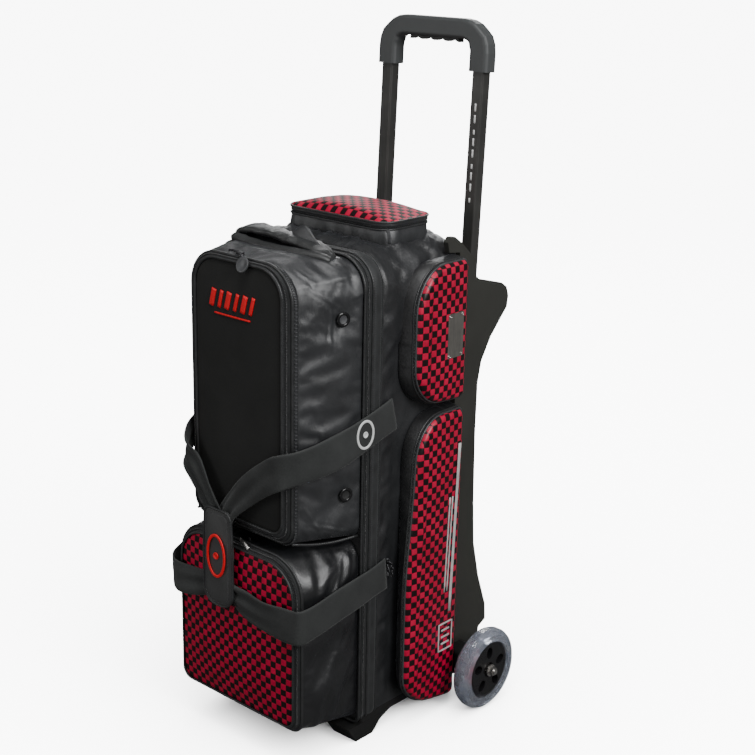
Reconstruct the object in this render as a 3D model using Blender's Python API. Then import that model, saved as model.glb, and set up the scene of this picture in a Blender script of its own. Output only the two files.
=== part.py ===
"""Three-ball bowling roller bag, modelled as separate named pieces.

Metres, +Z up, +X to the bag's right, +Y to the rear (handle and wheel side).
The origin is on the floor, under the middle of the whole bag's box.
The telescopic handle leans backward, so its pieces hang on one leaning empty.
"""

import math

import bmesh
import bpy
from mathutils import Vector

# ---- Driving dimensions ---------------------------------------------------
GAP = 0.0003                      # clearance between touching pieces

BODY_HALF_WIDTH = 0.130           # outside of the ball bay's side boards
BOARD = 0.012                     # padded board thickness
BAY_FRONT = -0.078                # plane of the main zipper
BAY_REAR = 0.146                  # inside face of the back board
BAY_FLOOR = 0.044                 # top of the moulded base
BAY_TOP = 0.708                   # underside of the top board
BODY_TOP = 0.722
SLOPE_Y = 0.104                   # where the top starts to slope to the rear
SLOPE_Z = 0.6825                  # where that slope ends at the back board
BACK_BOARD = 0.0075

BALL_CENTRE_Y = 0.034
CRADLE_THICKNESS = 0.030
CRADLE_NOTCH = 0.078
CRADLE_SEAT = 0.95                # notch depth as a share of its half width
LOW_CRADLE_SEAT = 0.92            # the low plate's notch is this much shallower again
NOTCH_STEPS = 12
CRADLE_LEVELS = {"low": BAY_FLOOR + GAP + CRADLE_THICKNESS / 2, "mid": 0.261, "high": 0.479}

BASE_BOTTOM = 0.026
FOOT_INNER = 0.085
FOOT_OUTER = 0.130

WHEEL_RADIUS = 0.0635
WHEEL_WIDTH = 0.026
WHEEL_OUTER = 0.2095              # outside face of each tyre
WHEEL_STEPS = 40
TREAD_HALF = 0.004                # flat middle of the tread
TYRE_SHOULDER = 0.0612            # radius where the tread starts to fall away
TYRE_SIDE = 0.056                 # radius of the tyre's flat side
HUB_RADIUS = 0.045
HUB_WIDTH = 0.022
HUB_LIP = 0.040                   # radius where the hub's rim starts
HUB_BEVEL = 0.002
HUB_WINDOWS = 5
WINDOW_CENTRE = 0.0275            # distance of each window from the axle
WINDOW_HALF = (0.0095, 0.0070)    # along the spoke and across it
BEARING_RADIUS = 0.011
BEARING_WIDTH = 0.008
AXLE_Y = 0.125
AXLE_RADIUS = 0.004
AXLE_BORE = 0.0043
AXLE_HALF_LENGTH = 0.2205
AXLE_STEPS = 16
NUT_STEPS = 24
NUT_RADIUS = 0.0070
NUT_LENGTH = 0.0080
WASHER_RADIUS = 0.0095
WASHER_THICKNESS = 0.0018

CHEEK_INNER = BODY_HALF_WIDTH + GAP
CHEEK_OUTER = 0.1385
BRACKET_OUTER = 0.1800
BEAM_HALF_DEPTH = 0.012
BEAM_Z = (0.0450, 0.0800)

HANDLE_FOOT_Y = 0.162             # handle line where it meets the floor
HANDLE_LEAN = 0.044               # metres of lean for each metre of height
TUBE_X = 0.0867
INNER_TUBE = (0.0210, 0.0180)
GRIP_SOCKET = (0.0216, 0.0186)
OUTER_TUBE = (0.0250, 0.0220)
OUTER_BORE = (0.0220, 0.0190)
OUTER_TUBE_SPAN = (0.100, 0.632)
INNER_TUBE_SPAN = (0.420, 0.966)
BEZEL_SPAN = (0.6323, 0.6383)
BEZEL_HALF = (0.1030, 0.0130)
TUBE_RADIUS = 0.003
COVER_HALF = (0.1026, 0.0998)     # half width of the rear cover: outside, inside
COVER_BACK = (0.0144, 0.0117)     # its rear wall: outside, inside
COVER_FRONT = -0.0088
TUBE_BRACKET_FOOT = 0.080
GRIP_FOOT = 0.948                 # lower ends of the grip's legs
GRIP_BAR = 1.0065                 # centre line of the grip's bar
GRIP_SECTION = (0.0335, 0.0255)
GRIP_BEND = 0.032
GRIP_BEND_STEPS = 6
GRIP_LEG = 0.012                  # straight part of each leg
GRIP_BAR_SHARE = 0.86             # the bar is slimmer than the legs
TRIGGER_HALF = 0.046
TRIGGER_DEPTH = 0.0060            # half depth of the trigger, front to rear
TRIGGER_BUMPS = 4
TRIGGER_WAVE = 0.0020
BUMP_STEPS = 6

DOOR_REAR = BAY_FRONT - GAP
DOOR_BOARD = 0.008
DOOR_HALF_WIDTH = 0.128
DOOR_FOOT = 0.046
DOOR_HINGE = (-0.1305, BAY_FRONT, 0.0)
SHOE_REAR = DOOR_REAR - DOOR_BOARD - GAP
SHOE_FRONT = -0.1975
SHOE_Z = (0.3225, 0.7205)
SHOE_SHOULDER = -0.1880
SHOE_SHOULDER_HALF = 0.099
SHOE_SHOULDER_Z = (0.333, 0.7200)
SHOE_FRONT_HALF = 0.0865
SHOE_FRONT_Z = (0.345, 0.7165)
SHOE_WALL = 0.0045
SHOE_LOWER_RADIUS = 0.020
SHOE_UPPER_RADII = (0.035, 0.048, 0.038)      # at the door, the shoulder and the front
SHOE_ROOM_REAR = SHOE_REAR - 0.0025
LID_FOLD_Z = 0.4757
LID_THICKNESS = 0.0117

FRONT_POCKET_FRONT = -0.205
FRONT_POCKET_Z = (0.036, 0.3185)
FRONT_POCKET_FRONT_Z = (0.058, 0.316)
FRONT_POCKET_HALF = (0.1265, 0.1240)
FRONT_POCKET_WALL = 0.004
VENTS = {"upper": (-0.119, 0.647), "lower": (-0.112, 0.396)}
VENT_BORE = 0.0050

SIDE_POCKET_Y = (-0.024, 0.1000)
SIDE_POCKET_RIM = 0.1535
SIDE_POCKET_FACE = 0.1620
SIDE_POCKET_WALL = 0.003
SIDE_POCKETS = {"upper": (0.494, 0.704), "lower": (0.013, 0.484)}
SIDE_HINGE_Y = 0.0985
SIDE_RADII = (0.052, 0.010, 0.008, 0.062)
SIDE_CROWN_RADII = (0.046, 0.008, 0.008, 0.056)
SIDE_EDGE = 0.006                 # width of the slanted edge round a lid
SIDE_DRAFT = 0.002                # how far a tray narrows from its base to its rim
LID_INSET = 0.004
PLATE_LOW = (0.052, 0.564)
PLATE_HIGH = (0.086, 0.629)

TOP_POCKET_HALF = 0.099
TOP_POCKET_Y = (-0.012, 0.0945)
TOP_POCKET_RIM = 0.7500
TOP_POCKET_FACE = 0.7583
TOP_RADIUS = 0.026
TOP_CROWN_RADIUS = 0.020
TOP_EDGE = 0.007
TOP_INSET = 0.003

STRAP_WIDTH = 0.050
STRAP_GATHERED = 0.030             # width where the wrap gathers it
STRAP_SPREAD_X = 0.125             # it has its full width from here outward
STRAP_THICKNESS = 0.003
STRAP_FRONT = -0.2125
WRAP_FRONT = -0.2235
WRAP_CENTRE = (-0.022, 0.289)
WRAP_SIZE = (0.060, 0.148)
SLIDER_HALF = (0.006, 0.0035, 0.0025)

ARC_STEPS = 5
SHARP_ANGLE = 35                  # degrees between faces from which an edge stays sharp
WELD = 0.000005


# ---- Materials ------------------------------------------------------------
def make_material(name, colour, roughness, metallic=0.0):
    """Return a new Principled material."""
    material = bpy.data.materials.new(name)
    material.use_nodes = True
    shader = material.node_tree.nodes["Principled BSDF"]
    shader.inputs["Base Color"].default_value = (*colour, 1.0)
    shader.inputs["Roughness"].default_value = roughness
    shader.inputs["Metallic"].default_value = metallic
    return material


PALETTE = {
    "board": ((0.03, 0.03, 0.035), 0.8, 0.0),
    "nylon": ((0.025, 0.026, 0.030), 0.45, 0.0),
    "padding": ((0.018, 0.018, 0.019), 0.75, 0.0),
    "checker": ((0.40, 0.015, 0.040), 0.25, 0.0),
    "foam": ((0.10, 0.10, 0.11), 0.95, 0.0),
    "webbing": ((0.022, 0.022, 0.023), 0.85, 0.0),
    "moulded": ((0.030, 0.030, 0.030), 0.55, 0.0),
    "grip": ((0.055, 0.057, 0.062), 0.50, 0.0),
    "tube": ((0.012, 0.011, 0.011), 0.30, 0.6),
    "steel": ((0.60, 0.60, 0.60), 0.30, 1.0),
    "plate": ((0.50, 0.48, 0.46), 0.35, 1.0),
    "tyre": ((0.55, 0.60, 0.68), 0.12, 0.0),
    "zip": ((0.20, 0.20, 0.21), 0.35, 1.0),
}


# ---- Outlines -------------------------------------------------------------
def rounded_outline(low, high, radii):
    """Return a rectangle with rounded corners, counter-clockwise from the lower left.

    low and high are (u, v) corners. radii are for the lower left, lower right,
    upper right and upper left corners.
    """
    centres = (
        (low[0] + radii[0], low[1] + radii[0], 180),
        (high[0] - radii[1], low[1] + radii[1], 270),
        (high[0] - radii[2], high[1] - radii[2], 0),
        (low[0] + radii[3], high[1] - radii[3], 90),
    )
    points = []
    for (u, v, start), radius in zip(centres, radii):
        for step in range(ARC_STEPS + 1):
            angle = math.radians(start + 90 * step / ARC_STEPS)
            points.append((u + radius * math.cos(angle), v + radius * math.sin(angle)))
    return points


def circle_outline(radius, steps, centre=(0.0, 0.0)):
    """Return a circle's points."""
    angles = [2 * math.pi * step / steps for step in range(steps)]
    return [(centre[0] + radius * math.cos(a), centre[1] + radius * math.sin(a)) for a in angles]


def place(outline, axis, level):
    """Lift a flat outline into space, with its plane at this level along the axis."""
    if axis == "X":
        return [(level, u, v) for u, v in outline]
    if axis == "Y":
        return [(u, level, v) for u, v in outline]
    return [(u, v, level) for u, v in outline]


# ---- Solids ---------------------------------------------------------------
def loft(name, material, sections, ring=False):
    """Join equal outlines into one closed body: with end caps, or round into a ring."""
    mesh = bpy.data.meshes.new(name)
    shape = bmesh.new()
    loops = [[shape.verts.new(point) for point in section] for section in sections]
    pairs = list(zip(loops, loops[1:]))
    if ring:
        pairs.append((loops[-1], loops[0]))
    for first, second in pairs:
        for index in range(len(first)):
            after = (index + 1) % len(first)
            shape.faces.new((first[index], first[after], second[after], second[index]))
    if not ring:
        shape.faces.new(loops[0])
        shape.faces.new(loops[-1])
    bmesh.ops.remove_doubles(shape, verts=shape.verts, dist=WELD)
    bmesh.ops.recalc_face_normals(shape, faces=shape.faces)
    shape.to_mesh(mesh)
    shape.free()
    mesh.shade_smooth()
    mesh.set_sharp_from_angle(angle=math.radians(SHARP_ANGLE))
    mesh.materials.append(material)
    piece = bpy.data.objects.new(name, mesh)
    bpy.context.collection.objects.link(piece)
    return piece


def prism(name, material, outline, axis, low, high):
    """Extrude an outline along an axis."""
    return loft(name, material, [place(outline, axis, low), place(outline, axis, high)])


def block(name, material, low, high, radius=0.002):
    """Make a box whose upright edges are rounded."""
    outline = rounded_outline(low[:2], high[:2], (radius,) * 4)
    return prism(name, material, outline, "Z", low[2], high[2])


def turned(name, material, profile, steps):
    """Turn a closed profile of (x, radius) points about an axle along X."""
    sections = [place(circle_outline(radius, steps), "X", x) for x, radius in profile]
    return loft(name, material, sections, ring=True)


def cutter_from(piece):
    """Hide a piece, so that it only guides a cut."""
    piece.hide_render = True
    piece.display_type = "WIRE"
    return piece


def cut(piece, cutter):
    """Take a cutter's shape out of a piece."""
    modifier = piece.modifiers.new("cut", "BOOLEAN")
    modifier.operation = "DIFFERENCE"
    modifier.solver = "EXACT"
    modifier.object = cutter_from(cutter)


def set_pivot(piece, point):
    """Move a piece's origin to its joint, and leave its shape where it is."""
    offset = Vector(point)
    for vertex in piece.data.vertices:
        vertex.co -= offset
    piece.location = offset


# ---- Ball bay -------------------------------------------------------------
def make_bay(materials):
    """Make the boards round the balls, the moulded base and the ball cradles."""
    side = [
        (BAY_FRONT, BAY_FLOOR + GAP),
        (BAY_REAR - GAP, BAY_FLOOR + GAP),
        (BAY_REAR - GAP, SLOPE_Z),
        (SLOPE_Y, BAY_TOP),
        (BAY_FRONT, BAY_TOP),
    ]
    for label, sign in (("left", -1), ("right", 1)):
        inner = sign * (BODY_HALF_WIDTH - BOARD)
        outer = sign * BODY_HALF_WIDTH
        prism(f"side_board_{label}", materials["board"], side, "X", inner, outer)

    rear = BAY_REAR + BACK_BOARD
    top = [
        (BAY_FRONT, BAY_TOP + GAP),
        (SLOPE_Y, BAY_TOP + GAP),
        (BAY_REAR, SLOPE_Z + GAP),
        (rear, SLOPE_Z + GAP),
        (rear, SLOPE_Z + 0.008),
        (BAY_REAR, SLOPE_Z + 0.016),
        (SLOPE_Y + 0.006, BODY_TOP - 0.004),
        (SLOPE_Y - 0.014, BODY_TOP),
        (BAY_FRONT + 0.008, BODY_TOP),
        (BAY_FRONT, BODY_TOP - 0.006),
    ]
    prism("top_board", materials["board"], top, "X", -BODY_HALF_WIDTH, BODY_HALF_WIDTH)
    block("back_board", materials["board"], (-BODY_HALF_WIDTH, BAY_REAR, BAY_FLOOR + GAP),
          (BODY_HALF_WIDTH, rear, SLOPE_Z))
    block("base_tray", materials["moulded"], (-BODY_HALF_WIDTH, BAY_FRONT, BASE_BOTTOM),
          (BODY_HALF_WIDTH, rear, BAY_FLOOR), radius=0.006)

    for level, middle in CRADLE_LEVELS.items():
        make_cradle(level, middle, materials["foam"])


def make_cradle(level, middle, material):
    """Make a foam plate with a half-round notch that keeps two balls apart."""
    half = BODY_HALF_WIDTH - BOARD - GAP
    rear = BAY_REAR - GAP
    if level == "low":
        rear = AXLE_Y - 0.014
    seat = CRADLE_SEAT
    if level == "low":
        seat *= LOW_CRADLE_SEAT
    notch = []
    for step in range(NOTCH_STEPS + 1):
        angle = math.pi * step / NOTCH_STEPS
        notch.append((CRADLE_NOTCH * math.cos(angle),
                      BALL_CENTRE_Y + CRADLE_NOTCH * math.sin(angle) * seat))
    outline = [(-half, BALL_CENTRE_Y), (-half, rear), (half, rear), (half, BALL_CENTRE_Y)]
    low = middle - CRADLE_THICKNESS / 2
    prism(f"ball_cradle_{level}", material, outline + notch, "Z", low, low + CRADLE_THICKNESS)


# ---- Rear frame and wheels ------------------------------------------------
def make_cheek(label, sign, materials):
    """Make a moulded side cheek: upper rest lobe, slim band and flare over the wheel."""
    outline = [
        (0.1040, 0.0300), (0.1040, 0.7060), (0.0800, 0.7090), (0.0760, 0.7240),
        (0.0820, 0.7310), (0.0920, 0.7300), (0.1080, 0.7190), (0.1405, 0.6900),
        (0.1410, 0.6680), (0.1500, 0.6600), (0.2060, 0.6450), (0.2180, 0.6370),
        (0.2235, 0.6230), (0.2210, 0.6060), (0.2060, 0.5900), (0.1840, 0.5660),
        (0.1640, 0.5330), (0.1570, 0.5000), (0.1560, 0.4200), (0.1590, 0.3100),
        (0.1640, 0.2400), (0.1790, 0.1800), (0.1995, 0.1250), (0.2015, 0.0980),
        (0.1850, 0.0900), (0.1800, 0.0500), (0.1620, 0.0300),
    ]
    cheek = prism(f"rear_cheek_{label}", materials["moulded"], outline, "X",
                  sign * CHEEK_INNER, sign * CHEEK_OUTER)
    cut(cheek, axle_cutter(f"cheek_bore_{label}", materials, sign * 0.12, sign * 0.15))

    bracket = prism(f"axle_bracket_{label}", materials["moulded"],
                    rounded_outline((0.105, 0.043), (0.145, 0.084), (0.008,) * 4), "X",
                    sign * (CHEEK_OUTER + GAP), sign * BRACKET_OUTER)
    cut(bracket, axle_cutter(f"bracket_bore_{label}", materials, sign * 0.13, sign * 0.19))


def axle_cutter(name, materials, low, high):
    """Make a round cutter on the axle's line."""
    outline = circle_outline(AXLE_BORE, AXLE_STEPS, (AXLE_Y, WHEEL_RADIUS))
    return prism(name, materials["steel"], outline, "X", low, high)


def make_axle(materials):
    """Make the axle rod and the beam that carries it across the bag."""
    rod = circle_outline(AXLE_RADIUS, AXLE_STEPS, (AXLE_Y, WHEEL_RADIUS))
    prism("axle_rod", materials["steel"], rod, "X", -AXLE_HALF_LENGTH, AXLE_HALF_LENGTH)
    half = BODY_HALF_WIDTH - BOARD - GAP
    section = rounded_outline((AXLE_Y - BEAM_HALF_DEPTH, BEAM_Z[0]), (AXLE_Y + BEAM_HALF_DEPTH, BEAM_Z[1]),
                              (0.003,) * 4)
    beam = prism("axle_beam", materials["moulded"], section, "X", -half, half)
    cut(beam, axle_cutter("beam_bore", materials, -0.14, 0.14))
    for label in ("left", "right"):
        board = bpy.data.objects[f"side_board_{label}"]
        sign = 1 if label == "right" else -1
        cut(board, axle_cutter(f"board_bore_{label}", materials, sign * 0.11, sign * 0.14))


def make_wheel(label, sign, materials):
    """Make one wheel: tyre, spoked hub and bearing, all about the axle."""
    pivot = (sign * (WHEEL_OUTER - WHEEL_WIDTH / 2), AXLE_Y, WHEEL_RADIUS)
    tyre = turned(f"tyre_{label}", materials["tyre"], tyre_profile(), WHEEL_STEPS)
    half = HUB_WIDTH / 2
    hub_profile = [(-half, BEARING_RADIUS + GAP), (-half, HUB_LIP), (-half + HUB_BEVEL, HUB_RADIUS),
                   (half - HUB_BEVEL, HUB_RADIUS), (half, HUB_LIP), (half, BEARING_RADIUS + GAP)]
    hub = turned(f"wheel_hub_{label}", materials["moulded"], hub_profile, WHEEL_STEPS)
    half = BEARING_WIDTH / 2
    bearing_profile = [(-half, AXLE_BORE), (-half, BEARING_RADIUS),
                       (half, BEARING_RADIUS), (half, AXLE_BORE)]
    bearing = turned(f"wheel_bearing_{label}", materials["steel"], bearing_profile, WHEEL_STEPS // 2)
    for piece in (tyre, hub, bearing):
        piece.location = pivot
    for index in range(HUB_WINDOWS):
        window = window_outline(math.radians(90 + 360 * index / HUB_WINDOWS))
        hole = prism(f"hub_window_{label}_{index}", materials["steel"], window, "X", -HUB_WIDTH, HUB_WIDTH)
        hole.location = pivot
        cut(hub, hole)
    make_axle_nut(label, sign, materials["steel"])


def tyre_profile():
    """Return the tyre's closed profile of (x, radius) points."""
    half = WHEEL_WIDTH / 2
    outer = [(TREAD_HALF, WHEEL_RADIUS), (half - TREAD_HALF, TYRE_SHOULDER), (half, TYRE_SIDE),
             (half, HUB_RADIUS + GAP)]
    mirrored = [(-x, radius) for x, radius in reversed(outer)]
    return mirrored + outer


def window_outline(angle):
    """Return an oval window's points in the hub's plane, on the ray at this angle."""
    along, across = WINDOW_HALF
    points = []
    for u, v in circle_outline(1.0, 12):
        distance = WINDOW_CENTRE + along * u
        points.append((distance * math.cos(angle) - across * v * math.sin(angle),
                       distance * math.sin(angle) + across * v * math.cos(angle)))
    return points


def make_axle_nut(label, sign, material):
    """Make a washer-faced hexagon nut near the end of the axle."""
    washer = circle_outline(WASHER_RADIUS, NUT_STEPS)
    corners = [Vector(corner) for corner in circle_outline(NUT_RADIUS, 6)]
    flat_steps = NUT_STEPS // 6
    hexagon = []
    for side, corner in enumerate(corners):
        for step in range(flat_steps):
            point = corner.lerp(corners[(side + 1) % 6], step / flat_steps)
            hexagon.append((point.x, point.y))
    bore = circle_outline(AXLE_BORE, NUT_STEPS)
    start = WHEEL_OUTER + GAP
    step_x = start + WASHER_THICKNESS
    end = start + NUT_LENGTH
    stack = [(washer, start), (washer, step_x), (hexagon, step_x), (hexagon, end), (bore, end),
             (bore, start)]
    sections = []
    for outline, x in stack:
        shifted = [(u + AXLE_Y, v + WHEEL_RADIUS) for u, v in outline]
        sections.append(place(shifted, "X", sign * x))
    loft(f"axle_nut_{label}", material, sections, ring=True)


def make_feet(materials):
    """Make the two skid feet under the front of the ball bay."""
    outline = [(-0.1060, BASE_BOTTOM - GAP), (-0.0980, 0.0130), (-0.0890, 0.0), (-0.0540, 0.0),
               (-0.0480, 0.0050), (-0.0360, 0.0170), (-0.0150, BASE_BOTTOM - GAP)]
    for label, sign in (("left", -1), ("right", 1)):
        prism(f"front_foot_{label}", materials["moulded"], outline, "X",
              sign * FOOT_INNER, sign * FOOT_OUTER)


# ---- Telescopic handle ----------------------------------------------------
def make_handle_axis():
    """Return the leaning empty that every handle piece hangs on."""
    axis = bpy.data.objects.new("handle_axis", None)
    axis.location = (0.0, HANDLE_FOOT_Y, 0.0)
    axis.rotation_euler.x = -math.atan(HANDLE_LEAN)
    bpy.context.collection.objects.link(axis)
    return axis


def tube_outline(size, x):
    """Return a rounded rectangular tube section round a tube's centre."""
    return rounded_outline((x - size[0] / 2, -size[1] / 2), (x + size[0] / 2, size[1] / 2),
                           (TUBE_RADIUS,) * 4)


def make_handle(materials):
    """Make the fixed tubes, their covers, the sliding tubes, the grip and the trigger."""
    pieces = []
    for label, x in (("left", -TUBE_X), ("right", TUBE_X)):
        low, high = OUTER_TUBE_SPAN
        outer = tube_outline(OUTER_TUBE, x)
        bore = tube_outline(OUTER_BORE, x)
        pieces.append(loft(f"outer_tube_{label}", materials["tube"],
                           [place(outer, "Z", low), place(outer, "Z", high),
                            place(bore, "Z", high), place(bore, "Z", low)], ring=True))
        pieces.append(prism(f"inner_tube_{label}", materials["tube"], tube_outline(INNER_TUBE, x), "Z",
                            *INNER_TUBE_SPAN))

    outside, inside = COVER_HALF
    back, back_inside = COVER_BACK
    channel = [(-outside, COVER_FRONT), (-outside, back), (outside, back), (outside, COVER_FRONT),
               (inside, COVER_FRONT), (inside, back_inside), (-inside, back_inside), (-inside, COVER_FRONT)]
    pieces.append(prism("rear_cover", materials["moulded"], channel, "Z", *OUTER_TUBE_SPAN))
    pieces.append(block("tube_bracket", materials["moulded"], (-outside, COVER_FRONT, TUBE_BRACKET_FOOT),
                        (outside, back, OUTER_TUBE_SPAN[0] - GAP)))
    bezel = block("handle_bezel", materials["moulded"], (-BEZEL_HALF[0], -BEZEL_HALF[1], BEZEL_SPAN[0]),
                  (BEZEL_HALF[0], BEZEL_HALF[1], BEZEL_SPAN[1]), radius=TUBE_RADIUS)
    pieces.append(bezel)
    for label, x in (("left", -TUBE_X), ("right", TUBE_X)):
        hole = prism(f"bezel_hole_{label}", materials["tube"], tube_outline(OUTER_BORE, x), "Z",
                     BEZEL_SPAN[0] - 0.01, BEZEL_SPAN[1] + 0.01)
        pieces.append(hole)
        cut(bezel, hole)
    pieces.extend(make_grip(materials))
    return pieces


def grip_path():
    """Return the grip's centre line as (x, height, direction angle) from left foot to right foot."""
    corner_z = GRIP_BAR - GRIP_BEND
    corner_x = TUBE_X - GRIP_BEND
    path = [(-TUBE_X, GRIP_FOOT, 90.0), (-TUBE_X, GRIP_FOOT + GRIP_LEG, 90.0)]
    for side, first_heading in ((-1, 90.0), (1, 0.0)):
        for step in range(GRIP_BEND_STEPS + 1):
            heading = first_heading - 90.0 * step / GRIP_BEND_STEPS
            turn = math.radians(heading + 90.0)
            path.append((side * corner_x + GRIP_BEND * math.cos(turn),
                         corner_z + GRIP_BEND * math.sin(turn), heading))
    path += [(TUBE_X, GRIP_FOOT + GRIP_LEG, -90.0), (TUBE_X, GRIP_FOOT, -90.0)]
    return path


def make_grip(materials):
    """Make the U-shaped grip with its tube sockets and the scalloped release trigger."""
    width, depth = GRIP_SECTION
    sections = []
    for x, z, heading in grip_path():
        across = math.radians(heading - 90)
        section = rounded_outline((-width / 2, -depth / 2), (width / 2, depth / 2), (0.006,) * 4)
        if -60 < heading < 60:
            section = [(u * GRIP_BAR_SHARE, v) for u, v in section]
        sections.append([(x + u * math.cos(across), v, z + u * math.sin(across)) for u, v in section])
    grip = loft("handle_grip", materials["grip"], sections)
    pieces = [grip]
    for label, x in (("left", -TUBE_X), ("right", TUBE_X)):
        socket = prism(f"grip_socket_{label}", materials["tube"], tube_outline(GRIP_SOCKET, x), "Z",
                       GRIP_FOOT - 0.01, INNER_TUBE_SPAN[1] + GAP)
        pieces.append(socket)
        cut(grip, socket)

    under = GRIP_BAR - width / 2 * GRIP_BAR_SHARE
    slot_half = (TRIGGER_HALF + GAP, TRIGGER_DEPTH + 0.0005)
    slot = block("trigger_slot", materials["grip"], (-slot_half[0], -slot_half[1], under - 0.01),
                 (*slot_half, under + 0.0070), radius=0.001)
    pieces.append(slot)
    cut(grip, slot)
    waves = []
    count = TRIGGER_BUMPS * BUMP_STEPS
    for step in range(count + 1):
        x = -TRIGGER_HALF + 2 * TRIGGER_HALF * step / count
        wave = TRIGGER_WAVE * math.cos(2 * math.pi * step / BUMP_STEPS)
        waves.append((x, under - 0.0035 - wave))
    outline = [(TRIGGER_HALF, under + 0.0030), (-TRIGGER_HALF, under + 0.0030)] + waves
    pieces.append(prism("release_trigger", materials["grip"], outline, "Y", -TRIGGER_DEPTH, TRIGGER_DEPTH))
    return pieces


# ---- Front door: shoe compartment, front pocket ---------------------------
def make_door(materials):
    """Make the door that carries the shoe compartment and the front pocket."""
    board = rounded_outline((-DOOR_HALF_WIDTH, DOOR_FOOT), (DOOR_HALF_WIDTH, SHOE_Z[1]),
                            (0.004, 0.004, 0.038, 0.038))
    pieces = [prism("door_board", materials["board"], board, "Y", DOOR_REAR - DOOR_BOARD, DOOR_REAR)]
    shell = loft("shoe_compartment", materials["nylon"], shoe_sections())
    side_wall = SHOE_WALL * 1.3
    rear_room = rounded_outline(
        (-DOOR_HALF_WIDTH + side_wall, SHOE_Z[0] + SHOE_WALL),
        (DOOR_HALF_WIDTH - side_wall, SHOE_Z[1] - SHOE_WALL), (0.018, 0.018, 0.032, 0.032))
    front_room = rounded_outline(
        (-SHOE_SHOULDER_HALF + side_wall, SHOE_SHOULDER_Z[0] + SHOE_WALL),
        (SHOE_SHOULDER_HALF - side_wall, SHOE_SHOULDER_Z[1] - SHOE_WALL), (0.018, 0.018, 0.042, 0.042))
    room = loft("shoe_room", materials["nylon"], [
        place(rear_room, "Y", SHOE_ROOM_REAR), place(front_room, "Y", SHOE_SHOULDER)])
    lid_back = SHOE_FRONT + LID_THICKNESS
    recess = block("lid_recess", materials["nylon"], (-0.15, SHOE_FRONT - 0.02, LID_FOLD_Z),
                   (0.15, lid_back + GAP, 0.75))
    cut(shell, room)
    cut(shell, recess)
    pieces += [shell, room, recess]
    pieces.append(make_front_pocket(materials))
    pieces += make_vents(materials)
    pieces.append(make_grab_handle(materials["webbing"]))
    return pieces


def shoe_sections():
    """Return the shoe compartment's outlines at the door, at its shoulder and at its front."""
    stations = (
        (DOOR_HALF_WIDTH, SHOE_Z, SHOE_REAR),
        (SHOE_SHOULDER_HALF, SHOE_SHOULDER_Z, SHOE_SHOULDER),
        (SHOE_FRONT_HALF, SHOE_FRONT_Z, SHOE_FRONT),
    )
    sections = []
    for (half, (low, high), y), upper in zip(stations, SHOE_UPPER_RADII):
        radii = (SHOE_LOWER_RADIUS, SHOE_LOWER_RADIUS, upper, upper)
        sections.append(place(rounded_outline((-half, low), (half, high), radii), "Y", y))
    return sections


def make_shoe_lid(materials):
    """Make the padded flap over the upper part of the shoe compartment."""
    square = 0.002
    edge = 0.006
    fold = LID_FOLD_Z + GAP
    wide, narrow = SHOE_UPPER_RADII[1:]
    shoulder = rounded_outline((-SHOE_SHOULDER_HALF, fold), (SHOE_SHOULDER_HALF, SHOE_SHOULDER_Z[1]),
                               (square, square, wide, wide))
    front = rounded_outline((-SHOE_FRONT_HALF, fold), (SHOE_FRONT_HALF, SHOE_FRONT_Z[1]),
                            (square, square, narrow, narrow))
    crown = rounded_outline(
        (-SHOE_FRONT_HALF + edge, fold + edge), (SHOE_FRONT_HALF - edge, SHOE_FRONT_Z[1] - edge),
        (square, square, narrow - edge, narrow - edge))
    lid = loft("shoe_lid", materials["padding"], [
        place(shoulder, "Y", SHOE_FRONT + LID_THICKNESS), place(shoulder, "Y", SHOE_SHOULDER),
        place(front, "Y", SHOE_FRONT), place(crown, "Y", SHOE_FRONT - 0.003)])
    set_pivot(lid, (0.0, SHOE_FRONT, LID_FOLD_Z))


def make_front_pocket(materials):
    """Make the lower front pocket: a tray against the door, with a slot mouth on top."""
    rear_half, front_half = FRONT_POCKET_HALF
    wall = FRONT_POCKET_WALL
    rear_radii = (0.020, 0.020, 0.030, 0.030)
    front_radii = (0.018, 0.018, 0.050, 0.050)
    front = rounded_outline((-front_half, FRONT_POCKET_FRONT_Z[0]), (front_half, FRONT_POCKET_FRONT_Z[1]),
                            front_radii)
    rear = rounded_outline((-rear_half, FRONT_POCKET_Z[0]), (rear_half, FRONT_POCKET_Z[1]), rear_radii)
    rear_in = rounded_outline((-rear_half + wall, FRONT_POCKET_Z[0] + wall),
                              (rear_half - wall, FRONT_POCKET_Z[1] - wall), rear_radii)
    front_in = rounded_outline((-front_half + wall, FRONT_POCKET_FRONT_Z[0] + wall),
                               (front_half - wall, FRONT_POCKET_FRONT_Z[1] - wall), front_radii)
    pocket = loft("front_pocket", materials["checker"], [
        place(front, "Y", FRONT_POCKET_FRONT), place(rear, "Y", SHOE_REAR),
        place(rear_in, "Y", SHOE_REAR), place(front_in, "Y", FRONT_POCKET_FRONT + wall)])
    mouth = block("pocket_mouth", materials["nylon"], (-0.075, -0.1925, 0.298), (0.075, -0.1855, 0.350))
    cut(pocket, mouth)
    return pocket


def make_vents(materials):
    """Make the four eyelet vents on the slanting sides of the shoe compartment."""
    pieces = []
    slant = math.atan((DOOR_HALF_WIDTH - SHOE_SHOULDER_HALF) / (SHOE_REAR - SHOE_SHOULDER))
    ring = [(0.0, VENT_BORE), (0.0, 0.0085), (0.0022, 0.0075), (0.0022, VENT_BORE)]
    for level, (y, z) in VENTS.items():
        share = (SHOE_REAR - y) / (SHOE_REAR - SHOE_SHOULDER)
        half = DOOR_HALF_WIDTH + (SHOE_SHOULDER_HALF - DOOR_HALF_WIDTH) * share
        for label, sign in (("left", -1), ("right", 1)):
            profile = [(sign * x, radius) for x, radius in ring]
            vent = turned(f"vent_{level}_{label}", materials["steel"], profile, AXLE_STEPS)
            vent.location = (sign * (half + 0.0008), y, z)
            vent.rotation_euler.z = -sign * slant
            pieces.append(vent)
    return pieces


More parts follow.
